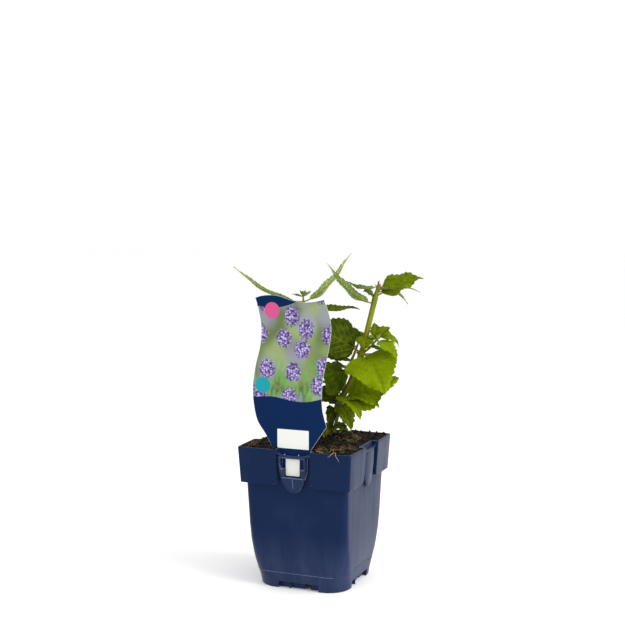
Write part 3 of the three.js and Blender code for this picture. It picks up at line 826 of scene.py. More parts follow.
def picture_print(settings):
    """A generic printed picture: round violet blossom heads over a blurred green meadow."""
    made = Finish("picture_print", 0.36, Specular_IOR_Level=0.1)
    place = made.parts(made.place())
    flat = made.node("CombineXYZ", {"X": place[0], "Y": place[2]}).outputs["Vector"]
    meadow = settings.meadow
    pale = [min(1, 1.8 * c + 0.05) for c in meadow]
    deep = [0.32 * c for c in meadow]
    ground = made.mix(made.span(made.grain(flat, 32, 1), 0.35, 0.68), meadow, pale)
    low = made.span(place[2], 0.215, 0.185, 0, 0.55)
    ground = made.mix(made.math("MULTIPLY", low, made.span(made.grain(flat, 75, 3), 0.4, 0.6)), ground, deep)
    # Leaves: long cells that lean to both sides near the picture's foot
    blades = made.cells(made.scaled(flat, (240, 75, 1), (0, 0, 0.7)), 1, random=0.8, dimensions="2D")
    leaf = made.math("MULTIPLY", made.span(blades, 0.42, 0.3), made.span(place[2], 0.222, 0.2))
    ground = made.mix(made.math("MULTIPLY", leaf, 0.75), ground, PICTURED_LEAF)
    # Heads out of focus behind, then sharp ones in front
    far_reach = made.cells(made.scaled(flat, (36, 30, 1)), 1, random=0.75, dimensions="2D")
    wobble = made.math("MULTIPLY", made.grain(flat, 160, 3), 0.15)
    far = made.span(made.math("ADD", far_reach, wobble), 0.6, 0.2, 0, 0.55)
    ground = made.mix(far, ground, [0.8 * c + 0.12 for c in settings.blossom])
    near_place = made.scaled(flat, (47, 39, 1), (0, 0, 0.35))
    near_reach = made.cells(near_place, 1, random=0.55, dimensions="2D")
    fringe = made.math("MULTIPLY", made.cells(flat, 520, dimensions="2D"), 0.22)
    head = made.span(made.math("ADD", near_reach, fringe), 0.47, 0.4)
    tone = made.parts(made.cells(flat, 480, output="Color", dimensions="2D"))[0]
    lilac = [min(1, 1.35 * c + 0.22) for c in settings.blossom]
    florets = made.mix(made.span(tone, 0.2, 0.9), settings.blossom, lilac)
    gaps = made.span(made.cells(flat, 480, dimensions="2D"), 0.3, 0.62)
    florets = made.mix(gaps, florets, PICTURED_GAP)
    shade = made.span(near_reach, 0.15, 0.45, 0, 0.45)
    florets = made.mix(shade, florets, [0.4 * c for c in settings.blossom])
    made.paint(made.mix(head, ground, florets))
    return made.relief(made.grain(flat, 900, 2), 0.008, 0.3).material


def leaf_finish(name, roughness, specular):
    return Finish(
        name, roughness, Specular_IOR_Level=specular, Subsurface_Weight=0.22, Subsurface_Scale=0.0012,
        Subsurface_Radius=(0.7, 1.0, 0.15)
    )


def leaf_patterns(made, vein_width):
    """What a blade's own attributes say, and the patterns made from them: its flat place in
    millimetres, its painted light level, its side veins, all its veins and the net of small ones."""
    across, along, bright = made.parts(made.own("blade"))
    vein, seed, edge = made.parts(made.own("veins"))
    depth = made.math("MULTIPLY", seed, 50)
    flat = made.node("CombineXYZ", {"X": across, "Y": along, "Z": depth}).outputs["Vector"]
    share = made.math("FRACT", made.math("ADD", vein, 0.5))
    off = made.math("ABSOLUTE", made.math("SUBTRACT", share, 0.5))
    side = made.math("MULTIPLY", made.span(off, vein_width, vein_width * 0.25), made.span(edge, 0.95, 0.6))
    midrib = made.span(made.math("ABSOLUTE", across), 0.75, 0.2)
    net = made.cells(flat, 0.75, "DISTANCE_TO_EDGE")
    return flat, bright, side, made.math("MAXIMUM", side, midrib), net


def browned(made, colour, bright, fine):
    """A blade's colour, or the mixed browns of a withered one."""
    brown = made.mix(made.span(fine, 0.4, 0.6), DARK_BROWN, PALE_BROWN)
    return made.mix(made.span(bright, -0.3, -0.6), colour, brown)


def leaf_upper(settings):
    """The blade's upper face: green painted lit or shaded by leaf, pale veins, a fine net, small bright
    spots.
    """
    made = leaf_finish("leaf_upper", 0.5, 0.03)
    flat, bright, side, veins, net = leaf_patterns(made, 0.085)
    mottle = made.grain(flat, 0.16, 3)
    fine = made.grain(flat, 1.6, 3)
    # Each leaf's painted light and shade, with tone that differs at random
    level = made.math("ADD", bright, made.span(mottle, 0.3, 0.7, -0.17, 0.15))
    level = made.math("ADD", level, made.span(fine, 0.3, 0.7, -0.12, 0.1))
    middle = [0.42 * d + 0.38 * b for d, b in zip(settings.dark_leaf, settings.painted_lit_leaf)]
    colour = made.mix(made.span(level, 0, 0.55), settings.dark_leaf, middle)
    colour = made.mix(made.span(level, 0.45, 1.05), colour, settings.painted_lit_leaf)
    colour = made.mix(made.span(net, 0.11, 0.02, 0, 0.3), colour, [0.55 * c for c in middle])
    paler = made.mix(0.45, colour, UPPER_VEIN)
    colour = made.mix(made.math("MULTIPLY", veins, 0.42), colour, paler)
    spots = made.span(made.cells(flat, 0.15), 0.09, 0.05, 0, 0.7)
    spots = made.math("MULTIPLY", spots, made.span(made.grain(flat, 0.11, 1), 0.5, 0.62))
    colour = made.mix(spots, colour, LEAF_SPOT)
    made.paint(browned(made, colour, bright, fine))
    made.gloss(made.span(fine, 0.3, 0.7, 0.42, 0.6))
    height = made.math("ADD", made.span(net, 0, 0.25), made.math("MULTIPLY", side, -1.1))
    return made.relief(made.math("ADD", height, fine), 0.22, 0.75).material


def leaf_lower(settings):
    """The blade's lower face: pale and matt, with raised veins."""
    made = leaf_finish("leaf_lower", 0.62, 0.05)
    flat, bright, side, veins, net = leaf_patterns(made, 0.1)
    fine = made.grain(flat, 1.4, 3)
    # The lower face is painted darker too, by each leaf's painted shade
    shade = [0.5 * c for c in settings.underside]
    level = made.math("ADD", bright, made.span(fine, 0.3, 0.7, -0.2, 0.2))
    colour = made.mix(made.span(level, 0, 0.9), shade, settings.underside)
    colour = made.mix(made.span(net, 0.1, 0.02, 0, 0.35), colour, [1.25 * c for c in settings.underside])
    colour = made.mix(made.math("MULTIPLY", veins, 0.7), colour, LOWER_VEIN)
    made.paint(browned(made, colour, bright, fine))
    height = made.math("SUBTRACT", made.math("MULTIPLY", side, 1.4), made.span(net, 0, 0.2))
    return made.relief(height, 0.2, 0.7).material


def stem_skin(settings):
    """Square young stem: yellow-green above, darker and browner towards the soil."""
    made = Finish("stem_skin", 0.5, Specular_IOR_Level=0.08, Subsurface_Weight=0.1, Subsurface_Scale=0.001)
    place = made.place()
    streaks = made.grain(made.scaled(place, (900, 900, 70)), 1, 3)
    height = made.parts(place)[2]
    low = [0.4 * settings.stem[0], 0.42 * settings.stem[1], 3 * settings.stem[2]]
    colour = made.mix(made.span(height, 0.145, 0.225), low, settings.stem)
    colour = made.mix(made.span(streaks, 0.35, 0.75, 0, 0.6), colour, STEM_STREAK)
    colour = made.mix(made.span(made.grain(place, 500, 2), 0.62, 0.75, 0, 0.3), colour, STEM_FLECK)
    made.paint(colour)
    return made.relief(streaks, 0.12, 0.6).material


def dress(obj, *materials):
    """Gives an object its materials, in the order of its faces' indices."""
    obj.data.materials.clear()
    for material in materials:
        obj.data.materials.append(material)


def hand_over(obj, node):
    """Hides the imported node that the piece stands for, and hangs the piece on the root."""
    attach(obj, "root")
    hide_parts(node)


# The pot

# The wall is a grid of rows by height and columns round the pot. Columns stand at places along
# half a side where the wall has edges to follow, then at shares of the rest of the way to the
# corner's start, then round the corner.
WALL_STOPS = [
    0, 4, 8, 12, 15, 16.2, 16.25, 16.3, 16.55, 17, 17.4, 17.7, 17.8, 17.9, 18.2, 18.8, 19.4, 19.8, 19.98, 20,
    20.7, 21.5,
]
WALL_SHARES = (0.3, 0.65, 1.0)
CORNER_STEPS = 9

# How far the wall's outer and inner faces belong to the collar, by the place along half a side
OUTER_EDGE = ([16.2, 16.25, 16.3, 16.55, 17], [0, 0.12, 0.86, 0.97, 1])
INNER_EDGE = ([17.7, 17.8, 17.9, 18.2], [0, 0.12, 0.9, 1])

# Rows of the body by height: outside below and above the seam, then inside
ROWS_BELOW_SEAM = (0.35, 1.5, 3, 5, 7.5, 10, 12.5)
ROWS_ABOVE_SEAM = (18, 21, 24, 28, 32, 38, 44, 52, 60, 70, 80, 90, 95)
ROWS_INSIDE = (96, 80, 60, 44, 32, 24, 16, 9, 7, 3, 0.5)

# Rows under the collar, as the share of the way out to it, how far they stand out and their lift
LEDGE_ROWS = [(0, 0, -0.9), (0, 0.12, -0.3), (0, 0.5, -0.05), (0.82, 0, 0), (0.95, 0, 0.12), (1, 0, 0.45)]
PANEL_ROWS = 8
PANEL_LIFT = 0.7

# Rows round the rim, as the drop below its top and the distance from the face on their side
RIM_OUTSIDE = [(0.4, 0.06), (0.12, 0.25), (0, 0.5)]
RIM_INSIDE = [(0, 0.45), (0.12, 0.2), (0.4, 0.05)]
RIM_DROP = 0.8

# Rows inside the collar, and over its ledge as the share of the collar and their lift
INSIDE_ROWS = 5
INSIDE_LIFT = 0.3
SHELF_ROWS = [(1, 0.1), (0.6, 0), (0.1, -0.1), (0, -0.5)]

# The heights at which the rows no longer follow the cut-outs, and from which they follow the ledge
CUTOUT_UP_TO = 24
LEDGE_FROM = 75


def wall_stations():
    """(side, which half, place along it, share of the way on, turn round the corner) by column."""
    half = [(a, None, None) for a in WALL_STOPS] + [(None, s, None) for s in WALL_SHARES]
    stations = []
    for side in range(4):
        stations += [(side, -1, *stop) for stop in reversed(half[1:])]
        stations += [(side, 1, *stop) for stop in half]
        stations += [(side, 1, None, None, k * math.pi / 2 / CORNER_STEPS) for k in range(1, CORNER_STEPS)]
    stations.append(stations[0])
    return stations


def wall_point(station, z, half, corner, bow):
    """A column's point on the square section with round corners at a height."""
    side, sign, along, share, turn = station
    straight = half - corner
    last = WALL_STOPS[-1]
    if turn is None:
        a = along if share is None else last + share * (straight - last)
        out = half + bow * (1 - min(1, a / straight) ** 2)
        a *= sign
    else:
        out = straight + corner * math.cos(turn)
        a = straight + corner * math.sin(turn)
    angle = side * math.pi / 2
    return (
        out * math.cos(angle) - a * math.sin(angle),
        out * math.sin(angle) + a * math.cos(angle),
        z,
    )


def wall_form(station):
    """How high the cut-out's edge stands, the height of the collar's lower edge, and how far the
    outer and the inner face belong to the collar, at one column."""
    along = station[2]
    a = math.inf if along is None else along
    cutout = 0.0
    if a < CUTOUT_HALF:
        over = max(0.0, a - (CUTOUT_HALF - CUTOUT_ROUND))
        cutout = CUTOUT_HEIGHT - CUTOUT_ROUND + math.sqrt(max(0.0, CUTOUT_ROUND**2 - over**2))
    reach = min(PANEL_ROUND, max(0.0, RECESS_HALF + PANEL_ROUND - a))
    ledge = COLLAR_BOTTOM + PANEL_ROUND - math.sqrt(PANEL_ROUND**2 - reach**2)
    return cutout, ledge, float(np.interp(a, *OUTER_EDGE)), float(np.interp(a, *INNER_EDGE))


def wall_rows(wall):
    """The rows of the wall's closed skin: outside up, over the rim and inside down. A row is a
    function of the column's form that gives height, collar share and inset."""

    def body(z, inset=0.0):
        def row(cutout, ledge, outer, inner):
            low = cutout * max(0.0, 1 - z / CUTOUT_UP_TO)
            share = (z - LEDGE_FROM) / (COLLAR_BOTTOM - LEDGE_FROM)
            return z + low + (ledge - COLLAR_BOTTOM) * max(0.0, share), 0.0, inset

        return row

    def under_collar(share, out, lift):
        def row(cutout, ledge, outer, inner):
            return ledge + lift, share * outer, -out * outer

        return row

    def panel(share):
        def row(cutout, ledge, outer, inner):
            low = ledge + PANEL_LIFT
            return low + share * (POT_HEIGHT - RIM_DROP - low), outer, 0.0

        return row

    def rim(drop, inset):
        def row(cutout, ledge, outer, inner):
            return POT_HEIGHT - drop, outer + (inner - outer) * inset / wall, inset

        return row

    def inside(share):
        def row(cutout, ledge, outer, inner):
            low = ledge + wall + INSIDE_LIFT
            return low + share * (POT_HEIGHT - RIM_DROP - low), inner, wall

        return row

    def shelf(share, lift):
        def row(cutout, ledge, outer, inner):
            return ledge + wall + lift, share * inner, wall

        return row

    rows = [body(z) for z in ROWS_BELOW_SEAM]
    rows.append(body(SEAM_HEIGHT - SEAM_HALF))
    rows += [body(SEAM_HEIGHT + place, -SEAM_OUT) for place in (-SEAM_CREST_HALF, SEAM_CREST_HALF)]
    rows.append(body(SEAM_HEIGHT + SEAM_HALF))
    rows += [body(z) for z in ROWS_ABOVE_SEAM]
    rows += [under_collar(*row) for row in LEDGE_ROWS]
    rows += [panel(k / PANEL_ROWS) for k in range(PANEL_ROWS + 1)]
    rows += [rim(drop, inset) for drop, inset in RIM_OUTSIDE]
    rows += [rim(drop, wall - inset) for drop, inset in RIM_INSIDE]
    rows += [inside(k / INSIDE_ROWS) for k in range(INSIDE_ROWS, -1, -1)]
    rows += [shelf(*row) for row in SHELF_ROWS]
    rows += [body(z, wall) for z in ROWS_INSIDE]
    rows += [body(0, inset) for inset in (wall - 0.35, wall / 2, 0.3)]
    rows.append(rows[0])
    return rows


def pot_wall(wall):
    """The wall, collar and rim as one closed skin."""
    stations = wall_stations()
    forms = [wall_form(station) for station in stations]
    places = []
    for row in wall_rows(wall):
        line = []
        for station, form in zip(stations, forms):
            z, collar, inset = row(*form)
            body_half = np.interp(z, BODY_HEIGHTS, BODY_HALVES)
            body_corner = np.interp(z, BODY_HEIGHTS, BODY_CORNERS)
            collar_half = np.interp(z, COLLAR_HEIGHTS, COLLAR_HALVES)
            bow = np.interp(z, COLLAR_HEIGHTS, COLLAR_BOWS) * collar
            half = body_half + collar * (collar_half - body_half) - inset
            corner = body_corner + collar * (COLLAR_CORNER - body_corner) - inset
            line.append(wall_point(station, z, half, corner, bow))
        places.append(line)
    obj, _, _ = grid_shaped("pot_wall", places)
    edit(obj, weld, face_outwards)
    return obj


def square_loop(half, corner):
    """A square with round corners, as a loop of points."""
    steps = 8
    straight = half - corner
    loop = []
    for side, (x, y) in zip(SIDES, ((1, 1), (-1, 1), (-1, -1), (1, -1))):
        for k in range(steps + 1):
            turn = math.radians(side + k * 90 / steps)
            loop.append((x * straight + corner * math.cos(turn), y * straight + corner * math.sin(turn)))
    return loop


def ring_quarter(half, corner):
    """One edge of the rib ring, from one side's notch round the corner to the next side's."""
    return [(half, RING_FROM), *[p for p in square_loop(half, corner) if min(p) > 0], (RING_TO, half)]


def underside(wall):
    """The floor with its drain holes, the square rib ring and the middle disc."""
    loops = [square_loop(FLOOR_HALF - wall + FLOOR_SUNK, FLOOR_CORNER)]
    for side in SIDES:
        turned = Matrix.Rotation(math.radians(side), 2)
        loops.append(circle(*(turned @ Vector(DRAIN_PLACE)), DRAIN_RADIUS, 28))
        loops.append([tuple(turned @ Vector(corner)) for corner in SLOT])
    floor = raised(plate("floor", loops, FLOOR_THICK, edge_round=0.2), FLOOR_TOP - FLOOR_THICK / 2)
    outer = ring_quarter(RING_HALF, RING_CORNER)
    inner = ring_quarter(RING_HALF - RING_THICK, RING_CORNER - RING_THICK)
    disc = plate("disc", [circle(0, 0, DISC_RADIUS, 48)], RIB_HEIGHT, edge_round=0.3)
    rib = plate("rib", [outer + inner[::-1]], RIB_HEIGHT, edge_round=0.25)
    divider = plate("divider", [DIVIDER], RIB_HEIGHT, edge_round=0.1)
    parts = [floor, *[raised(part, RIB_HEIGHT / 2) for part in (disc, rib, divider)]]
    for part in (rib, divider):
        parts += [copy_turned(part, side) for side in SIDES[1:]]
    return parts


def tongue_loop():
    """The tongue's outline: bevelled at the top, straight, and tapered to a round lower end."""
    steps = 32
    depth = CLIP_TAPER_FROM - CLIP_BOTTOM
    loop = [(-CLIP_HALF + CLIP_BEVEL, CLIP_TOP), (-CLIP_HALF, CLIP_TOP - CLIP_BEVEL)]
    for k in range(steps + 1):
        turn = math.pi + k * math.pi / steps
        loop.append((CLIP_HALF * math.cos(turn), CLIP_TAPER_FROM + depth * math.sin(turn)))
    return loop + [(CLIP_HALF, CLIP_TOP - CLIP_BEVEL), (CLIP_HALF - CLIP_BEVEL, CLIP_TOP)]


def strap_top(x):
    """Height of the strap, which hangs nearly level between steep ends."""
    return STRAP_MIDDLE_TOP + (STRAP_END_TOP - STRAP_MIDDLE_TOP) * (x / STRAP_END) ** 4


def lean_out(obj, slope):
    """Leans the tongue outwards from its lower end, and puts it in its place across the recess."""
    for v in obj.data.vertices:
        v.co.y -= slope * max(0, v.co.z - CLIP_BOTTOM * MM)
        v.co.x += CLIP_ACROSS * MM


def paint_highlight(obj, share):
    """Marks a part's foremost points for a painted highlight and the rest for a faint one, for the
    plastic to read."""
    front = min(v.co.y for v in obj.data.vertices) + 0.3 * MM
    shares = [(share if v.co.y < front else 0.16 * share, 0, 0) for v in obj.data.vertices]
    set_attribute(obj, "painted_highlight", shares)


def hollow_front():
    """Sinks the front face of the tongue inside a narrow rim."""
    bpy.ops.mesh.select_all(action="DESELECT")
    bpy.ops.object.mode_set(mode="OBJECT")
    mesh = bpy.context.object.data
    front = min(v.co.y for v in mesh.vertices)
    for polygon in mesh.polygons:
        polygon.select = polygon.normal.y < -0.99 and abs(polygon.center.y - front) < 1e-5
    bpy.ops.object.mode_set(mode="EDIT")
    bpy.ops.mesh.inset(thickness=CLIP_RIM * MM, depth=0, use_even_offset=True)
    bpy.ops.mesh.inset(thickness=0.2 * MM, depth=-CLIP_SUNK * MM, use_even_offset=True)


def clip_parts(strap_back, tongue_loops):
    """The strap that sags across the recess, and the upright tongue behind it."""
    across = np.linspace(-STRAP_END, STRAP_END, 45)
    upper = [(x, strap_top(x)) for x in across]
    lower = [(x, strap_top(x) - STRAP_HEIGHT) for x in across[::-1]]
    strap = plate("strap", [upper + lower], STRAP_THICK, edge_round=0.4)
    tongue = plate("tongue", tongue_loops, CLIP_THICK, edge_round=0.25)
    stand_up(strap, -(strap_back + STRAP_THICK / 2))
    stand_up(tongue, -(CLIP_BACK + CLIP_THICK / 2))
    return strap, tongue


def plain_clip():
    """The clip at the front before it is turned to another side."""
    strap, tongue = clip_parts(PLAIN_STRAP_BACK, [tongue_loop()])
    lean_out(tongue, PLAIN_LEAN)
    return join("clip", [strap, tongue])


def front_clip():
    """The front clip, whose tongue has a sunk face with a window and raised lines painted pale as
    highlights.
    """
    strap, tongue = clip_parts(STRAP_BACK, [tongue_loop(), WINDOW])
    edit(tongue, hollow_front)
    paint_highlight(strap, STRAP_HIGHLIGHT)
    paint_highlight(tongue, TONGUE_HIGHLIGHT)
    loops = [UPRIGHT_LINE, *[rounded_panel(*line, LINE_ROUND) for line in LEVEL_LINES]]
    lines = [plate("line", [loop], LINE_THICK, edge_round=0.2) for loop in loops]
    for line in lines:
        stand_up(line, -(CLIP_BACK + CLIP_THICK - 0.2))
        paint_highlight(line, LINE_HIGHLIGHT)
    for part in (tongue, *lines):
        lean_out(part, FRONT_LEAN)
    return join("clip", [strap, tongue, *lines])


class HYSSOP_OT_pot(bpy.types.Operator):
    """Makes the moulded pot: wall, collar, rim, feet, floor and ribs"""

    bl_idname = "potted_hyssop.pot"
    bl_label = "Make the pot"

    def execute(self, context):
        settings = context.scene.hyssop_pot
        wall = settings.wall / MM
        pot = join("pot_shell", [pot_wall(wall), *underside(wall)])
        dress(pot, pot_plastic(settings))
        smooth(pot, 32)
        hand_over(pot, "pot")
        return {"FINISHED"}


class HYSSOP_OT_clips(bpy.types.Operator):
    """Makes the four label clips, one on each side of the pot"""

    bl_idname = "potted_hyssop.clips"
    bl_label = "Make the label clips"

    def execute(self, context):
        plain = plain_clip()
        plain.data.transform(Matrix.Rotation(math.radians(90), 4, "Z"))
        clips = join("pot_clips", [plain, copy_turned(plain, 90), copy_turned(plain, 180), front_clip()])
        dress(clips, bpy.data.materials["moulded_plastic"])
        smooth(clips, 32)
        hand_over(clips, "pot")
        return {"FINISHED"}


# The soil


def soil_height(x, y):
    """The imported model's soil surface with fine lumps added."""
    away = (x - MOUND_PLACE[0]) ** 2 + (y - MOUND_PLACE[1]) ** 2
    mound = SOIL_MOUND * math.exp(-away / (2 * MOUND_SPREAD**2))
    lumps = math.sin(0.42 * x + 1.3) * math.cos(0.37 * y + 0.4) + math.sin(0.23 * x - 0.31 * y)
    coarse = noise.noise((x / 6, y / 6, 3.0))
    fine = noise.noise((x / 2.2, y / 2.2, 9.0)) + 0.6 * noise.noise((x, y, 5.0))
    return SOIL_LEVEL + mound + LUMP_HEIGHT * lumps + COARSE_HEIGHT * coarse + FINE_HEIGHT * fine


def soil_limit(a):
    """How far the peat reaches towards a wall, at a place along that wall."""
    return float(np.interp(abs(a), PEAT_PLACES, PEAT_REACHES))


def soil_body(wall):
    """The peat: its uneven surface, and a block below it that follows the pot's inside."""
    reach = PEAT_REACHES[-1]
    straight = reach - PEAT_CORNER
    spread = np.linspace(-reach, reach, PEAT_STEPS + 1)
    places = []
    for y in spread:
        line = []
        for x in spread:
            px = x * soil_limit(y) / reach
            py = y * soil_limit(x) / reach
            past = math.hypot(max(0, abs(px) - straight), max(0, abs(py) - straight))
            # A point past the round corner is moved in along the diagonal
            over = max(0.0, past - PEAT_CORNER) * 0.7
            px -= math.copysign(over, px)
            py -= math.copysign(over, py)
            line.append((px, py, soil_height(px, py)))
        places.append(line)
    obj, _, _ = grid_shaped("soil_body", places)

    def down():
        bpy.ops.mesh.select_all(action="DESELECT")
        bpy.ops.mesh.select_non_manifold()
        for z in PEAT_RINGS:
            bpy.ops.mesh.extrude_region_move()
            bpy.ops.object.mode_set(mode="OBJECT")
            draw_in(obj, z, wall)
            bpy.ops.object.mode_set(mode="EDIT")
        bpy.ops.mesh.edge_face_add()
        bpy.ops.mesh.select_all(action="SELECT")
        face_outwards()

    edit(obj, down)
    return obj


def draw_in(obj, z, wall):
    """Puts the selected ring at a height, just inside the pot's wall."""
    gap = wall + SOIL_GAP
    half = float(np.interp(z, BODY_HEIGHTS, BODY_HALVES)) - gap
    corner = float(np.interp(z, BODY_HEIGHTS, BODY_CORNERS)) - gap
    straight = half - corner
    chosen = [v for v in obj.data.vertices if v.select]
    for v in chosen:
        x = v.co.x / MM
        y = v.co.y / MM
        if z < COLLAR_BOTTOM + wall:
            grow = half / max(abs(x), abs(y), 1e-6)
            x *= grow
            y *= grow
            dx = max(0.0, abs(x) - straight)
            dy = max(0.0, abs(y) - straight)
            reach = math.hypot(dx, dy)
            if reach > corner:
                x = math.copysign(straight + dx * corner / reach, x)
                y = math.copysign(straight + dy * corner / reach, y)
        elif z < LEDGE_UP_TO:
            x *= LEDGE_REACH / PEAT_REACHES[-1]
            y *= LEDGE_REACH / PEAT_REACHES[-1]
        v.co = (x * MM, y * MM, z * MM)


def inside_soil(rng, edge):
    """A random place on the peat, clear of the walls."""
    while True:
        x, y = rng.uniform(-52, 52, 2)
        if abs(x) < soil_limit(y) - edge and abs(y) < soil_limit(x) - edge:
            return x, y


def crumb_shells(count, rng):
    """Loose crumbs: small round lumps of uneven form, sunk a little into the surface."""
    bpy.ops.object.select_all(action="DESELECT")
    bpy.ops.mesh.primitive_ico_sphere_add(subdivisions=2, radius=1)
    model = bpy.context.object
    points = np.array([v.co[:] for v in model.data.vertices])
    faces = [tuple(p.vertices) for p in model.data.polygons]
    bpy.data.objects.remove(model, do_unlink=True)
    shells = []
    for _ in range(count):
        size = 0.45 + 1.5 * rng.random() ** 3
        x, y = inside_soil(rng, size + 0.6)
        bumps = 1 + 0.32 * rng.standard_normal(len(points)).clip(-1.6, 1.6)
        stretch = rng.uniform(0.65, 1.35, 3) * (1, 1, 0.8)
        turn = np.array(Matrix.Rotation(rng.uniform(0, 6.28), 3, Vector(rng.standard_normal(3))))
        lump = (points * bumps[:, None] * size * stretch) @ turn.T
        lump += (x, y, soil_height(x, y) + 0.25 * size)
        shells.append((lump, faces))
    return shells


def fibre_shell(rng, x, y, length, radius, rise):
    """One thin fibre that wanders over the peat and may arch up from it."""
    count = 8
    heading = rng.uniform(0, 2 * math.pi)
    bend = rng.normal(0, 0.35)
    path = []
    for k in range(count):
        share = k / (count - 1)
        lift = 0.1 + rise * math.sin(math.pi * share) + rng.uniform(0, 0.25)
        path.append((x, y, soil_height(x, y) + lift))
        heading += bend + rng.normal(0, 0.22)
        x += math.cos(heading) * length / count
        y += math.sin(heading) * length / count
        x = float(np.clip(x, -soil_limit(y) + 0.8, soil_limit(y) - 0.8))
        y = float(np.clip(y, -soil_limit(x) + 0.8, soil_limit(x) - 0.8))
    return tube(path, np.linspace(radius, radius * 0.5, count), 4)


def fibre_shells(count, rng):
    """Fibres all over the peat, and the thicker ones that lie in tufts."""
    shells = []
    for _ in range(count):
        x, y = inside_soil(rng, 3)
        length = rng.uniform(*FIBRE_LENGTHS)
        radius = rng.uniform(*FIBRE_RADII)
        rise = rng.uniform(*FIBRE_RISES) * length
        shells.append(fibre_shell(rng, x, y, length, radius, rise))
    for tuft in FIBRE_TUFTS:
        for _ in range(TUFT_FIBRES):
            x, y = np.clip(tuft + rng.normal(0, TUFT_SPREAD, 2), -50, 50)
            length = rng.uniform(*TUFT_LENGTHS)
            rise = rng.uniform(*TUFT_RISES) * length
            radius = rng.uniform(*TUFT_RADII)
            shells.append(fibre_shell(rng, x, y, length, radius, rise))
    return shells


def root_shells():
    """The fine roots at the front rim."""
    count = 22
    radii = np.linspace(*ROOT_RADII, count)
    return [tube(smooth_course(route, count), radii, 6) for route in RIM_ROOTS]


def chip_shell(rng):
    """A chip of bark or a broken stalk."""
    x, y = inside_soil(rng, 3)
    heading = rng.uniform(0, 2 * math.pi)
    length = rng.uniform(*CHIP_LENGTHS)
    width = rng.uniform(*CHIP_WIDTHS)
    tilt = rng.uniform(-0.5, 0.5)
    way = np.array([math.cos(heading), math.sin(heading), tilt])
    base = np.array([x, y, soil_height(x, y) + 0.35])
    path = [base + way * length * s for s in (-0.5, -0.42, 0, 0.38, 0.5)]
    return tube(path, [0.1 * width, width * 0.8, width, width * 0.7, 0.12], 5)


class HYSSOP_OT_soil(bpy.types.Operator):
    """Makes the peat that fills the pot, with a lumpy surface"""

    bl_idname = "potted_hyssop.soil"
    bl_label = "Make the peat"

    def execute(self, context):
        body = soil_body(context.scene.hyssop_pot.wall / MM)
        dress(body, peat(context.scene.hyssop_soil))
        smooth(body, 60)
        hand_over(body, "soil")
        return {"FINISHED"}


class HYSSOP_OT_litter(bpy.types.Operator):
    """Makes the loose crumbs, fibres, chips and fine roots on the peat"""

    bl_idname = "potted_hyssop.litter"
    bl_label = "Make the crumbs and fibres"

    def execute(self, context):
        settings = context.scene.hyssop_soil
        rng = np.random.default_rng(LITTER_SEED)
        crumbs = mesh_from("soil_crumbs", crumb_shells(settings.crumbs, rng))
        dress(crumbs, bpy.data.materials["wet_peat"])
        smooth(crumbs, 80)
        fibres = mesh_from("soil_fibres", fibre_shells(settings.fibres, rng))
        dress(fibres, dry_litter("fibre", settings, settings.fibre))
        chips = mesh_from("soil_chips", [chip_shell(rng) for _ in range(CHIPS)])
        dress(chips, dry_litter("chip", settings, CHIP))
        fine_roots = mesh_from("rim_roots", root_shells())
        dress(fine_roots, dry_litter("root", settings, ROOT, 0.25))
        for piece in (crumbs, fibres, chips, fine_roots):
            edit(piece, face_outwards)
            hand_over(piece, "soil")
        for piece in (fibres, chips, fine_roots):
            smooth(piece, 60)
        return {"FINISHED"}


# The label


def label_edges():
    """The card's right, top and left edges as fine points."""
    return (
        [tuple(p) for p in smooth_course(LABEL_RIGHT, 60)],
        [tuple(p) for p in smooth_course(LABEL_TOP, 50)],
        [tuple(p) for p in smooth_course(LABEL_LEFT, 70)],
    )


def drawn_in(loop, amount):
    """A loop that runs anticlockwise, moved inwards by an amount."""
    points = np.asarray(loop, float)
    ahead = np.roll(points, -1, axis=0) - np.roll(points, 1, axis=0)
    ahead /= np.linalg.norm(ahead, axis=1)[:, None]
    inwards = np.stack([-ahead[:, 1], ahead[:, 0]], axis=1)
    return [tuple(p) for p in points + amount * inwards]


def label_fields():
    """The printed fields as loops that run anticlockwise: header, picture and band."""
    right, top, left = label_edges()
    outline = drawn_in(right + top[1:] + left[1:] + LABEL_FOOT, PRINT_MARGIN)
    right_end, top_end, left_end = np.cumsum([len(right), len(top) - 1, len(left) - 1])
    right = outline[:right_end]
    top = outline[right_end - 1 : top_end]
    left = outline[top_end - 1 : left_end]
    foot = outline[left_end:]
    header_line = [tuple(p) for p in smooth_course(HEADER_BORDER, 30)]
    band_line = [tuple(p) for p in smooth_course(BAND_BORDER, 40)]
    # The header's border runs from the left edge to the top one, the band's from side to side. Their
    # ends are kept as heights, but header_right is a place along the top edge.
    header_left, header_right = header_line[0][1], header_line[-1][0]
    band_left, band_right = band_line[0][1], band_line[-1][1]
    header = header_line + [p for p in top if p[0] < header_right]
    header += [p for p in left[1:] if p[1] > header_left]
    picture = band_line + [p for p in right if p[1] > band_right]
    picture += [p for p in top[1:] if p[0] > header_right] + header_line[::-1]
    picture += [p for p in left if band_left < p[1] < header_left]
    band = [p for p in left if p[1] < band_left] + foot
    band += [p for p in right if p[1] < band_right] + band_line[::-1]
    return header, picture, band


class HYSSOP_OT_label_card(bpy.types.Operator):
    """Makes the label's wavy plastic card with its neck and tongue"""

    bl_idname = "potted_hyssop.label_card"
    bl_label = "Make the label card"

    def execute(self, context):
        thickness = context.scene.hyssop_label.thickness / MM
        right, top, left = label_edges()
        outline = right + top[1:] + left[1:] + LABEL_FOOT
        card = stand_up(plate("label_card", [outline], thickness, edge_round=0.1), LABEL_MIDDLE_Y)
        dress(card, card_plastic())
        smooth(card, 40)
        hand_over(card, "label")
        return {"FINISHED"}


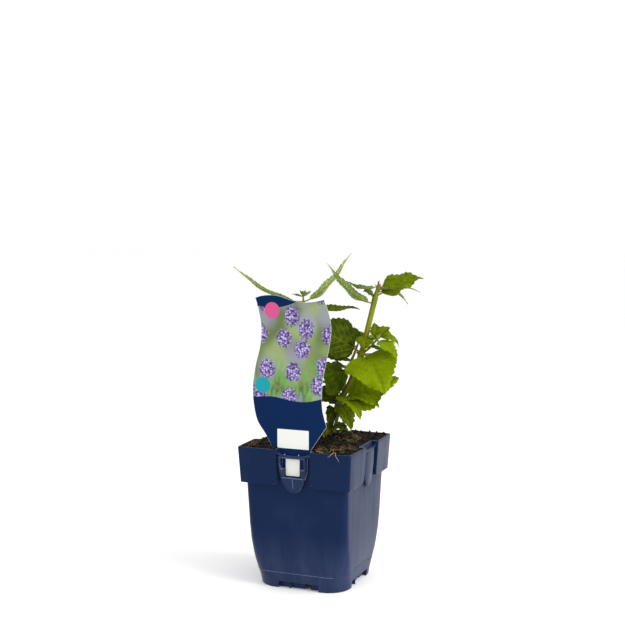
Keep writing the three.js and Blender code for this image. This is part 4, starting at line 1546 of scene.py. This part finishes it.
class HYSSOP_OT_label_print(bpy.types.Operator):
    """Makes the label's printed fields, plain discs and plain panel"""

    bl_idname = "potted_hyssop.label_print"
    bl_label = "Print the label"

    def execute(self, context):
        settings = context.scene.hyssop_label
        half = settings.thickness / MM / 2
        front = LABEL_MIDDLE_Y - half
        raised_front = front - PRINT_LIFT
        back = LABEL_MIDDLE_Y + half + BACK_PRINT_LIFT
        header, picture, band = label_fields()
        navy = plain_print("navy_print", settings.band, 1.5)
        white = plain_print("white_print", WHITE_INK, 1.08)
        pink = plain_print("pink_print", settings.warm_spot, 1.2)
        teal = plain_print("teal_print", settings.cool_spot, 1.2)
        tongue_panel = rounded_panel(*TONGUE_PANEL, TONGUE_PANEL_CORNER)
        dots = [circle(x, z, DOT_RADIUS, 16) for x, z in DOTS]
        fields = [
            ("label_header", [header], front, navy),
            ("label_picture", [picture], front, picture_print(settings)),
            ("label_band", [band], front, navy),
            ("label_back_band", [band], back, navy),
            ("label_upper_disc", [circle(*UPPER_SPOT, SPOT_RADIUS, 64)], raised_front, pink),
            ("label_lower_disc", [circle(*LOWER_SPOT, SPOT_RADIUS, 64)], raised_front, teal),
            ("label_panel", [rounded_panel(*PANEL, PANEL_CORNER)], raised_front, white),
            ("label_tongue_spot", [tongue_panel], raised_front, white),
            ("label_dots", dots, raised_front, white),
        ]
        for name, loops, depth, material in fields:
            piece = stand_up(plate(name, loops, PRINT_THICK), depth - PRINT_THICK / 2)
            dress(piece, material)
            hand_over(piece, "label")
        return {"FINISHED"}


# The plant


def blade_form(s):
    """Half the blade's width as a share of its greatest, at a share s of its length."""
    peak = 0.3702
    return np.sqrt(s) * (1 - s) ** 1.1 / peak


def leaf_frame(base, row, t):
    """Place, tangent, side and normal at each share t of a leaf's length."""
    heading, rise, length, _, arch, roll = row[:6]
    flat = math.cos(math.radians(rise))
    way = np.array([
        flat * math.cos(math.radians(heading)), flat * math.sin(math.radians(heading)),
        math.sin(math.radians(rise)),
    ])
    t = t[:, None]
    place = base + way * length * t + UP * arch * 4 * t * (1 - t)
    tangent = way * length + UP * arch * 4 * (1 - 2 * t)
    tangent /= np.linalg.norm(tangent, axis=1)[:, None]
    side = np.cross(tangent, UP)
    side /= np.linalg.norm(side, axis=1)[:, None]
    turn = math.radians(roll)
    side = side * math.cos(turn) + np.cross(tangent, side) * math.sin(turn)
    return place, tangent, side, np.cross(side, tangent)


def tooth_stops(count):
    """Shares of the blade's length for its rows, and each row's place in its tooth."""
    whole = count + END_TEETH
    toothed = count / whole
    stops = [(k + p) / whole for k in range(count) for p in TOOTH_ROWS]
    stops += [toothed + (1 - toothed) * s for s in END_ROWS]
    return np.array(stops), np.array([*TOOTH_ROWS] * count + END_PLACES)


def blade_shell(base, row, settings, rng):
    """Points of one blade's sheet and what its materials read, as rows across the blade."""
    _, _, length, width, _, _, bright = row
    blade_length = (1 - PETIOLE_SHARE) * length
    teeth = int(np.clip(round(blade_length / (settings.tooth / MM)), 3, 14))
    s, phase = tooth_stops(teeth)
    half_columns = 8 if width > 22 else 6 if width > 11 else 4
    signed = np.linspace(-1, 1, 2 * half_columns + 1)[None, :]
    size = abs(signed)
    place, tangent, side, normal = leaf_frame(base, row, PETIOLE_SHARE + (1 - PETIOLE_SHARE) * s)

    reach = width / 2 * blade_form(s)
    reach[0] = 0.06 * width
    reach = np.maximum(reach, 0.2)
    # A tooth swells towards its tip, which points forwards, and drops to the notch behind it
    to_tip = phase / TOOTH_TIP
    growing = np.clip(s / 0.08, 0, 1)
    notch = (1 - to_tip) ** 1.6 * growing
    cut = np.minimum(min(TOOTH_DEPTH, 0.08 * width) * notch / reach, 0.3)
    spacing = blade_length / (teeth + END_TEETH)
    forward = spacing * 0.3 * np.where(to_tip < 1, to_tip**2, 0) * growing
    forward[-len(END_ROWS) :] = 0
    forward = forward[:, None] * size**4
    across = signed * reach[:, None] * (1 - cut[:, None] * size**3)
    along = s[:, None] * blade_length + forward

    # Side veins leave the midrib at a slant and curve towards the tip, and the blade swells
    # between them and sinks along the midrib, less on a small leaf
    vein_gap = max(3.4, blade_length / 7.5)
    vein = (along - abs(across) * 0.75 - 0.012 * across**2) / vein_gap + 40
    swell = abs(np.sin(np.pi * vein)) ** 0.7 * (1 - size**6) * np.clip(abs(across) / 2.2, 0, 1)
    share = min(1.0, width / QUILTED_WIDTH)
    relief = share * (settings.quilt / MM * swell - MIDRIB_SUNK * np.exp(-((across / 1.1) ** 2)))

    # The halves bend down outwards, the edge waves and the tip hangs, each leaf in its own way
    left, right = rng.uniform(0, 2 * math.pi, 2)
    waves = rng.uniform(1.6, 2.6)
    start = np.where(signed < 0, left, right)
    wave = np.sin(2 * math.pi * waves * s[:, None] + start) * 0.045 * width * size**2.5
    bend = -0.07 * reach[:, None] * size**2
    tip = -0.18 * blade_length * np.clip(s - 0.6, 0, 1)[:, None] ** 2 * rng.uniform(0.3, 1.0)
    height = abs(across) * math.sin(FOLD) + relief + wave + bend + tip

    points = (
        place[:, None, :]
        + side[:, None, :] * (across * math.cos(FOLD))[..., None]
        + normal[:, None, :] * height[..., None]
        + tangent[:, None, :] * forward[..., None]
    )
    seed = rng.random()
    # The last value is the leaf's painted light, below zero for a withered leaf
    blade = np.stack([across, along, np.full_like(across, bright)], axis=-1)
    veins = np.stack([vein, np.full_like(vein, seed), np.broadcast_to(size, vein.shape)], axis=-1)
    return points, blade, veins


def make_blade(base, row, settings, rng):
    """One blade as an open sheet, with the attributes that the leaf's finishes read."""
    points, blade, veins = blade_shell(base, row, settings, rng)
    obj, line, column = grid_shaped("blade", points)
    set_attribute(obj, "blade", blade[line, column])
    set_attribute(obj, "veins", veins[line, column])
    return obj


def petiole_shell(base, row):
    """The leaf's stalk, which runs on below the blade as its midrib."""
    _, _, length, width, _, _, _ = row
    end = 0.97
    t = np.r_[np.linspace(0, PETIOLE_SHARE, 7)[:-1], np.linspace(PETIOLE_SHARE, end, 16)]
    place, _, side, normal = leaf_frame(base, row, t)
    thick = STALK_RADIUS + STALK_GROWTH * min(width, STALK_FULL_WIDTH)
    radii = thick * np.interp(t, [0, 0.03, PETIOLE_SHARE, 0.5, end], [1.5, 1.05, 0.95, 0.6, 0.2])
    # Under the blade it lies lower by most of its radius, and follows the sunk midrib and the tip
    drop = np.interp(t, [0, PETIOLE_SHARE * 0.7, PETIOLE_SHARE * 1.3, end], [0, 0, 0.75, 0.9])
    sunk = MIDRIB_SUNK * min(1.0, width / QUILTED_WIDTH) * np.clip((t - PETIOLE_SHARE) * 8, 0, 1)
    place = place - normal * (drop * radii + sunk)[:, None]
    place[:, 2] -= 0.09 * (1 - PETIOLE_SHARE) * length * np.clip((t - 0.68) / 0.8, 0, 1) ** 2
    return tube(place, radii, 7, list(zip(side, normal)))


def at_height(course, z):
    """The point of a shoot's course that is nearest to a height."""
    return course[np.argmin(abs(course[:, 2] - z))]


def shoot_shell(course, shoot):
    """The square shoot, swollen where leaves leave it and narrower at its tip."""
    line = course[::12]
    run = np.linspace(0, 1, len(line))
    radii = np.interp(run, [0, 1], shoot["thick"]) * SHOOT_RADIUS
    for z in sorted({row[0] for row in shoot["leaves"]}):
        radii = radii * (1 + NODE_SWELL * np.exp(-(((line[:, 2] - z) / NODE_SPREAD) ** 2)))
    radii *= np.interp(run, [0, 0.91, 0.95, 1], [1, 1, 0.66, 0.45])
    return tube(line, radii, 16, ridge=SHOOT_RIDGE)


def bud_rows(tip, rng, withered):
    """Small folded leaves round a shoot's tip, each with its foot. A withered shoot's are brown and
    spread down it."""
    step = WITHERED_STEP if withered else BUD_STEP
    buds = []
    for k in range(BUDS):
        heading = k * BUD_TURN + rng.uniform(-15, 15)
        rise = BUD_RISE - 5 * k
        length = BUD_LENGTH + 0.9 * k
        # Buds get a middling painted light, withered ones a value that paints them brown
        bright = WITHERED if k < withered else BUD_BRIGHT
        row = (heading, rise, length, 0.5 * length, BUD_ARCH, rng.uniform(-20, 20), bright)
        buds.append((tip - UP * step * k, row))
    return buds


def leafy_stem(name, node, shoots, seed, settings, finishes):
    """One leafy stem: its shoots, leaf stalks, blades and tip buds in one piece."""
    rng = np.random.default_rng(seed)
    blades = []
    shells = []
    for shoot in shoots:
        course = smooth_course(shoot["route"], 601)
        shells.append(shoot_shell(course, shoot))
        for height, *row in shoot["leaves"]:
            base = at_height(course, height)
            blades.append(make_blade(base, row, settings, rng))
            shells.append(petiole_shell(base, row))
        for base, row in bud_rows(course[-1], rng, shoot.get("withered", 0)):
            blades.append(make_blade(base, row, settings, rng))
            shells.append(petiole_shell(base, row))
    leaves = join("blades", blades)
    dress(leaves, *finishes)
    apply_modifier(
        leaves, "SOLIDIFY", thickness=settings.blade, offset=0, use_even_offset=False, material_offset=1,
        material_offset_rim=0
    )
    stalks = mesh_from("stalks", shells)
    dress(stalks, *finishes)
    for polygon in stalks.data.polygons:
        polygon.material_index = 2
    edit(stalks, face_outwards)
    stem = join(name, [leaves, stalks])
    smooth(stem, 50)
    hand_over(stem, node)


class HYSSOP_OT_plant(bpy.types.Operator):
    """Makes the three leafy stems with toothed, quilted leaves"""

    bl_idname = "potted_hyssop.plant"
    bl_label = "Make the leafy stems"

    def execute(self, context):
        settings = context.scene.hyssop_plant
        finishes = [leaf_upper(settings), leaf_lower(settings), stem_skin(settings)]
        for name, node, shoots, seed in LEAFY_STEMS:
            leafy_stem(name, node, shoots, seed, settings, finishes)
        return {"FINISHED"}


# The stage


def area_light(name, place, size, power):
    """A soft rectangular light that faces the plant."""
    light = bpy.data.lights.new(name, "AREA")
    light.shape = "RECTANGLE"
    light.size, light.size_y = size
    light.energy = power
    obj = bpy.data.objects.new(name, light)
    obj.location = place
    obj.rotation_euler = (Vector(LIGHT_AIM) - Vector(place)).to_track_quat("-Z", "Y").to_euler()
    bpy.context.collection.objects.link(obj)


class HYSSOP_OT_stage(bpy.types.Operator):
    """Makes the pale floor, the soft lights and the camera"""

    bl_idname = "potted_hyssop.stage"
    bl_label = "Set the stage"

    def execute(self, context):
        settings = context.scene.hyssop_stage
        bpy.ops.object.select_all(action="DESELECT")
        bpy.ops.mesh.primitive_plane_add(size=FLOOR_SIDE, location=(0, 0, -FLOOR_DROP))
        floor = context.object
        floor.name = "floor"
        matt = Finish("floor_paint", 0.9, Specular_IOR_Level=0.1)
        pale = [0.985 * c for c in settings.floor]
        matt.paint(matt.mix(matt.grain(matt.place(), 3, 2), settings.floor, pale))
        dress(floor, matt.material)

        world = bpy.data.worlds.new("surround")
        context.scene.world = world
        world.use_nodes = True
        background = world.node_tree.nodes["Background"]
        background.inputs["Color"].default_value = (1, 1, 1, 1)
        background.inputs["Strength"].default_value = settings.surround
        area_light("side_light", SIDE_LIGHT_PLACE, SIDE_LIGHT_SIZE, settings.side_light)
        area_light("front_light", FRONT_LIGHT_PLACE, FRONT_LIGHT_SIZE, settings.front_light)

        camera = bpy.data.objects.new("camera", bpy.data.cameras.new("camera"))
        camera.data.lens = CAMERA_LENS
        camera.data.sensor_width = CAMERA_SENSOR
        camera.location = CAMERA_PLACE
        camera.rotation_euler = (math.radians(CAMERA_PITCH), 0, math.radians(CAMERA_HEADING))
        context.collection.objects.link(camera)
        context.scene.camera = camera
        context.scene.view_settings.view_transform = "Standard"
        return {"FINISHED"}


class HYSSOP_PT_panel(bpy.types.Panel):
    """Lists the makers of the pieces and their settings"""

    bl_label = "Potted giant hyssop"
    bl_idname = "HYSSOP_PT_panel"
    bl_space_type = "VIEW_3D"
    bl_region_type = "UI"
    bl_category = "Hyssop"

    def draw(self, context):
        for operator in OPERATORS:
            self.layout.operator(operator.bl_idname)
        for name in SETTINGS:
            group = getattr(context.scene, name)
            for key in group.__annotations__:
                self.layout.prop(group, key)


SETTINGS = {
    "hyssop_pot": PotSettings,
    "hyssop_soil": SoilSettings,
    "hyssop_label": LabelSettings,
    "hyssop_plant": PlantSettings,
    "hyssop_stage": StageSettings,
}
OPERATORS = (
    HYSSOP_OT_pot,
    HYSSOP_OT_clips,
    HYSSOP_OT_soil,
    HYSSOP_OT_litter,
    HYSSOP_OT_label_card,
    HYSSOP_OT_label_print,
    HYSSOP_OT_plant,
    HYSSOP_OT_stage,
)


def register():
    for group in SETTINGS.values():
        bpy.utils.register_class(group)
    for name, group in SETTINGS.items():
        setattr(bpy.types.Scene, name, PointerProperty(type=group))
    for operator in OPERATORS:
        bpy.utils.register_class(operator)
    bpy.utils.register_class(HYSSOP_PT_panel)


def unregister():
    bpy.utils.unregister_class(HYSSOP_PT_panel)
    for operator in reversed(OPERATORS):
        bpy.utils.unregister_class(operator)
    for name in SETTINGS:
        delattr(bpy.types.Scene, name)
    for group in SETTINGS.values():
        bpy.utils.unregister_class(group)


def main():
    register()
    makers = bpy.ops.potted_hyssop
    for make in (
        makers.pot, makers.clips, makers.soil, makers.litter, makers.label_card, makers.label_print,
        makers.plant, makers.stage,
    ):
        make()


if __name__ == "__main__":
    main()
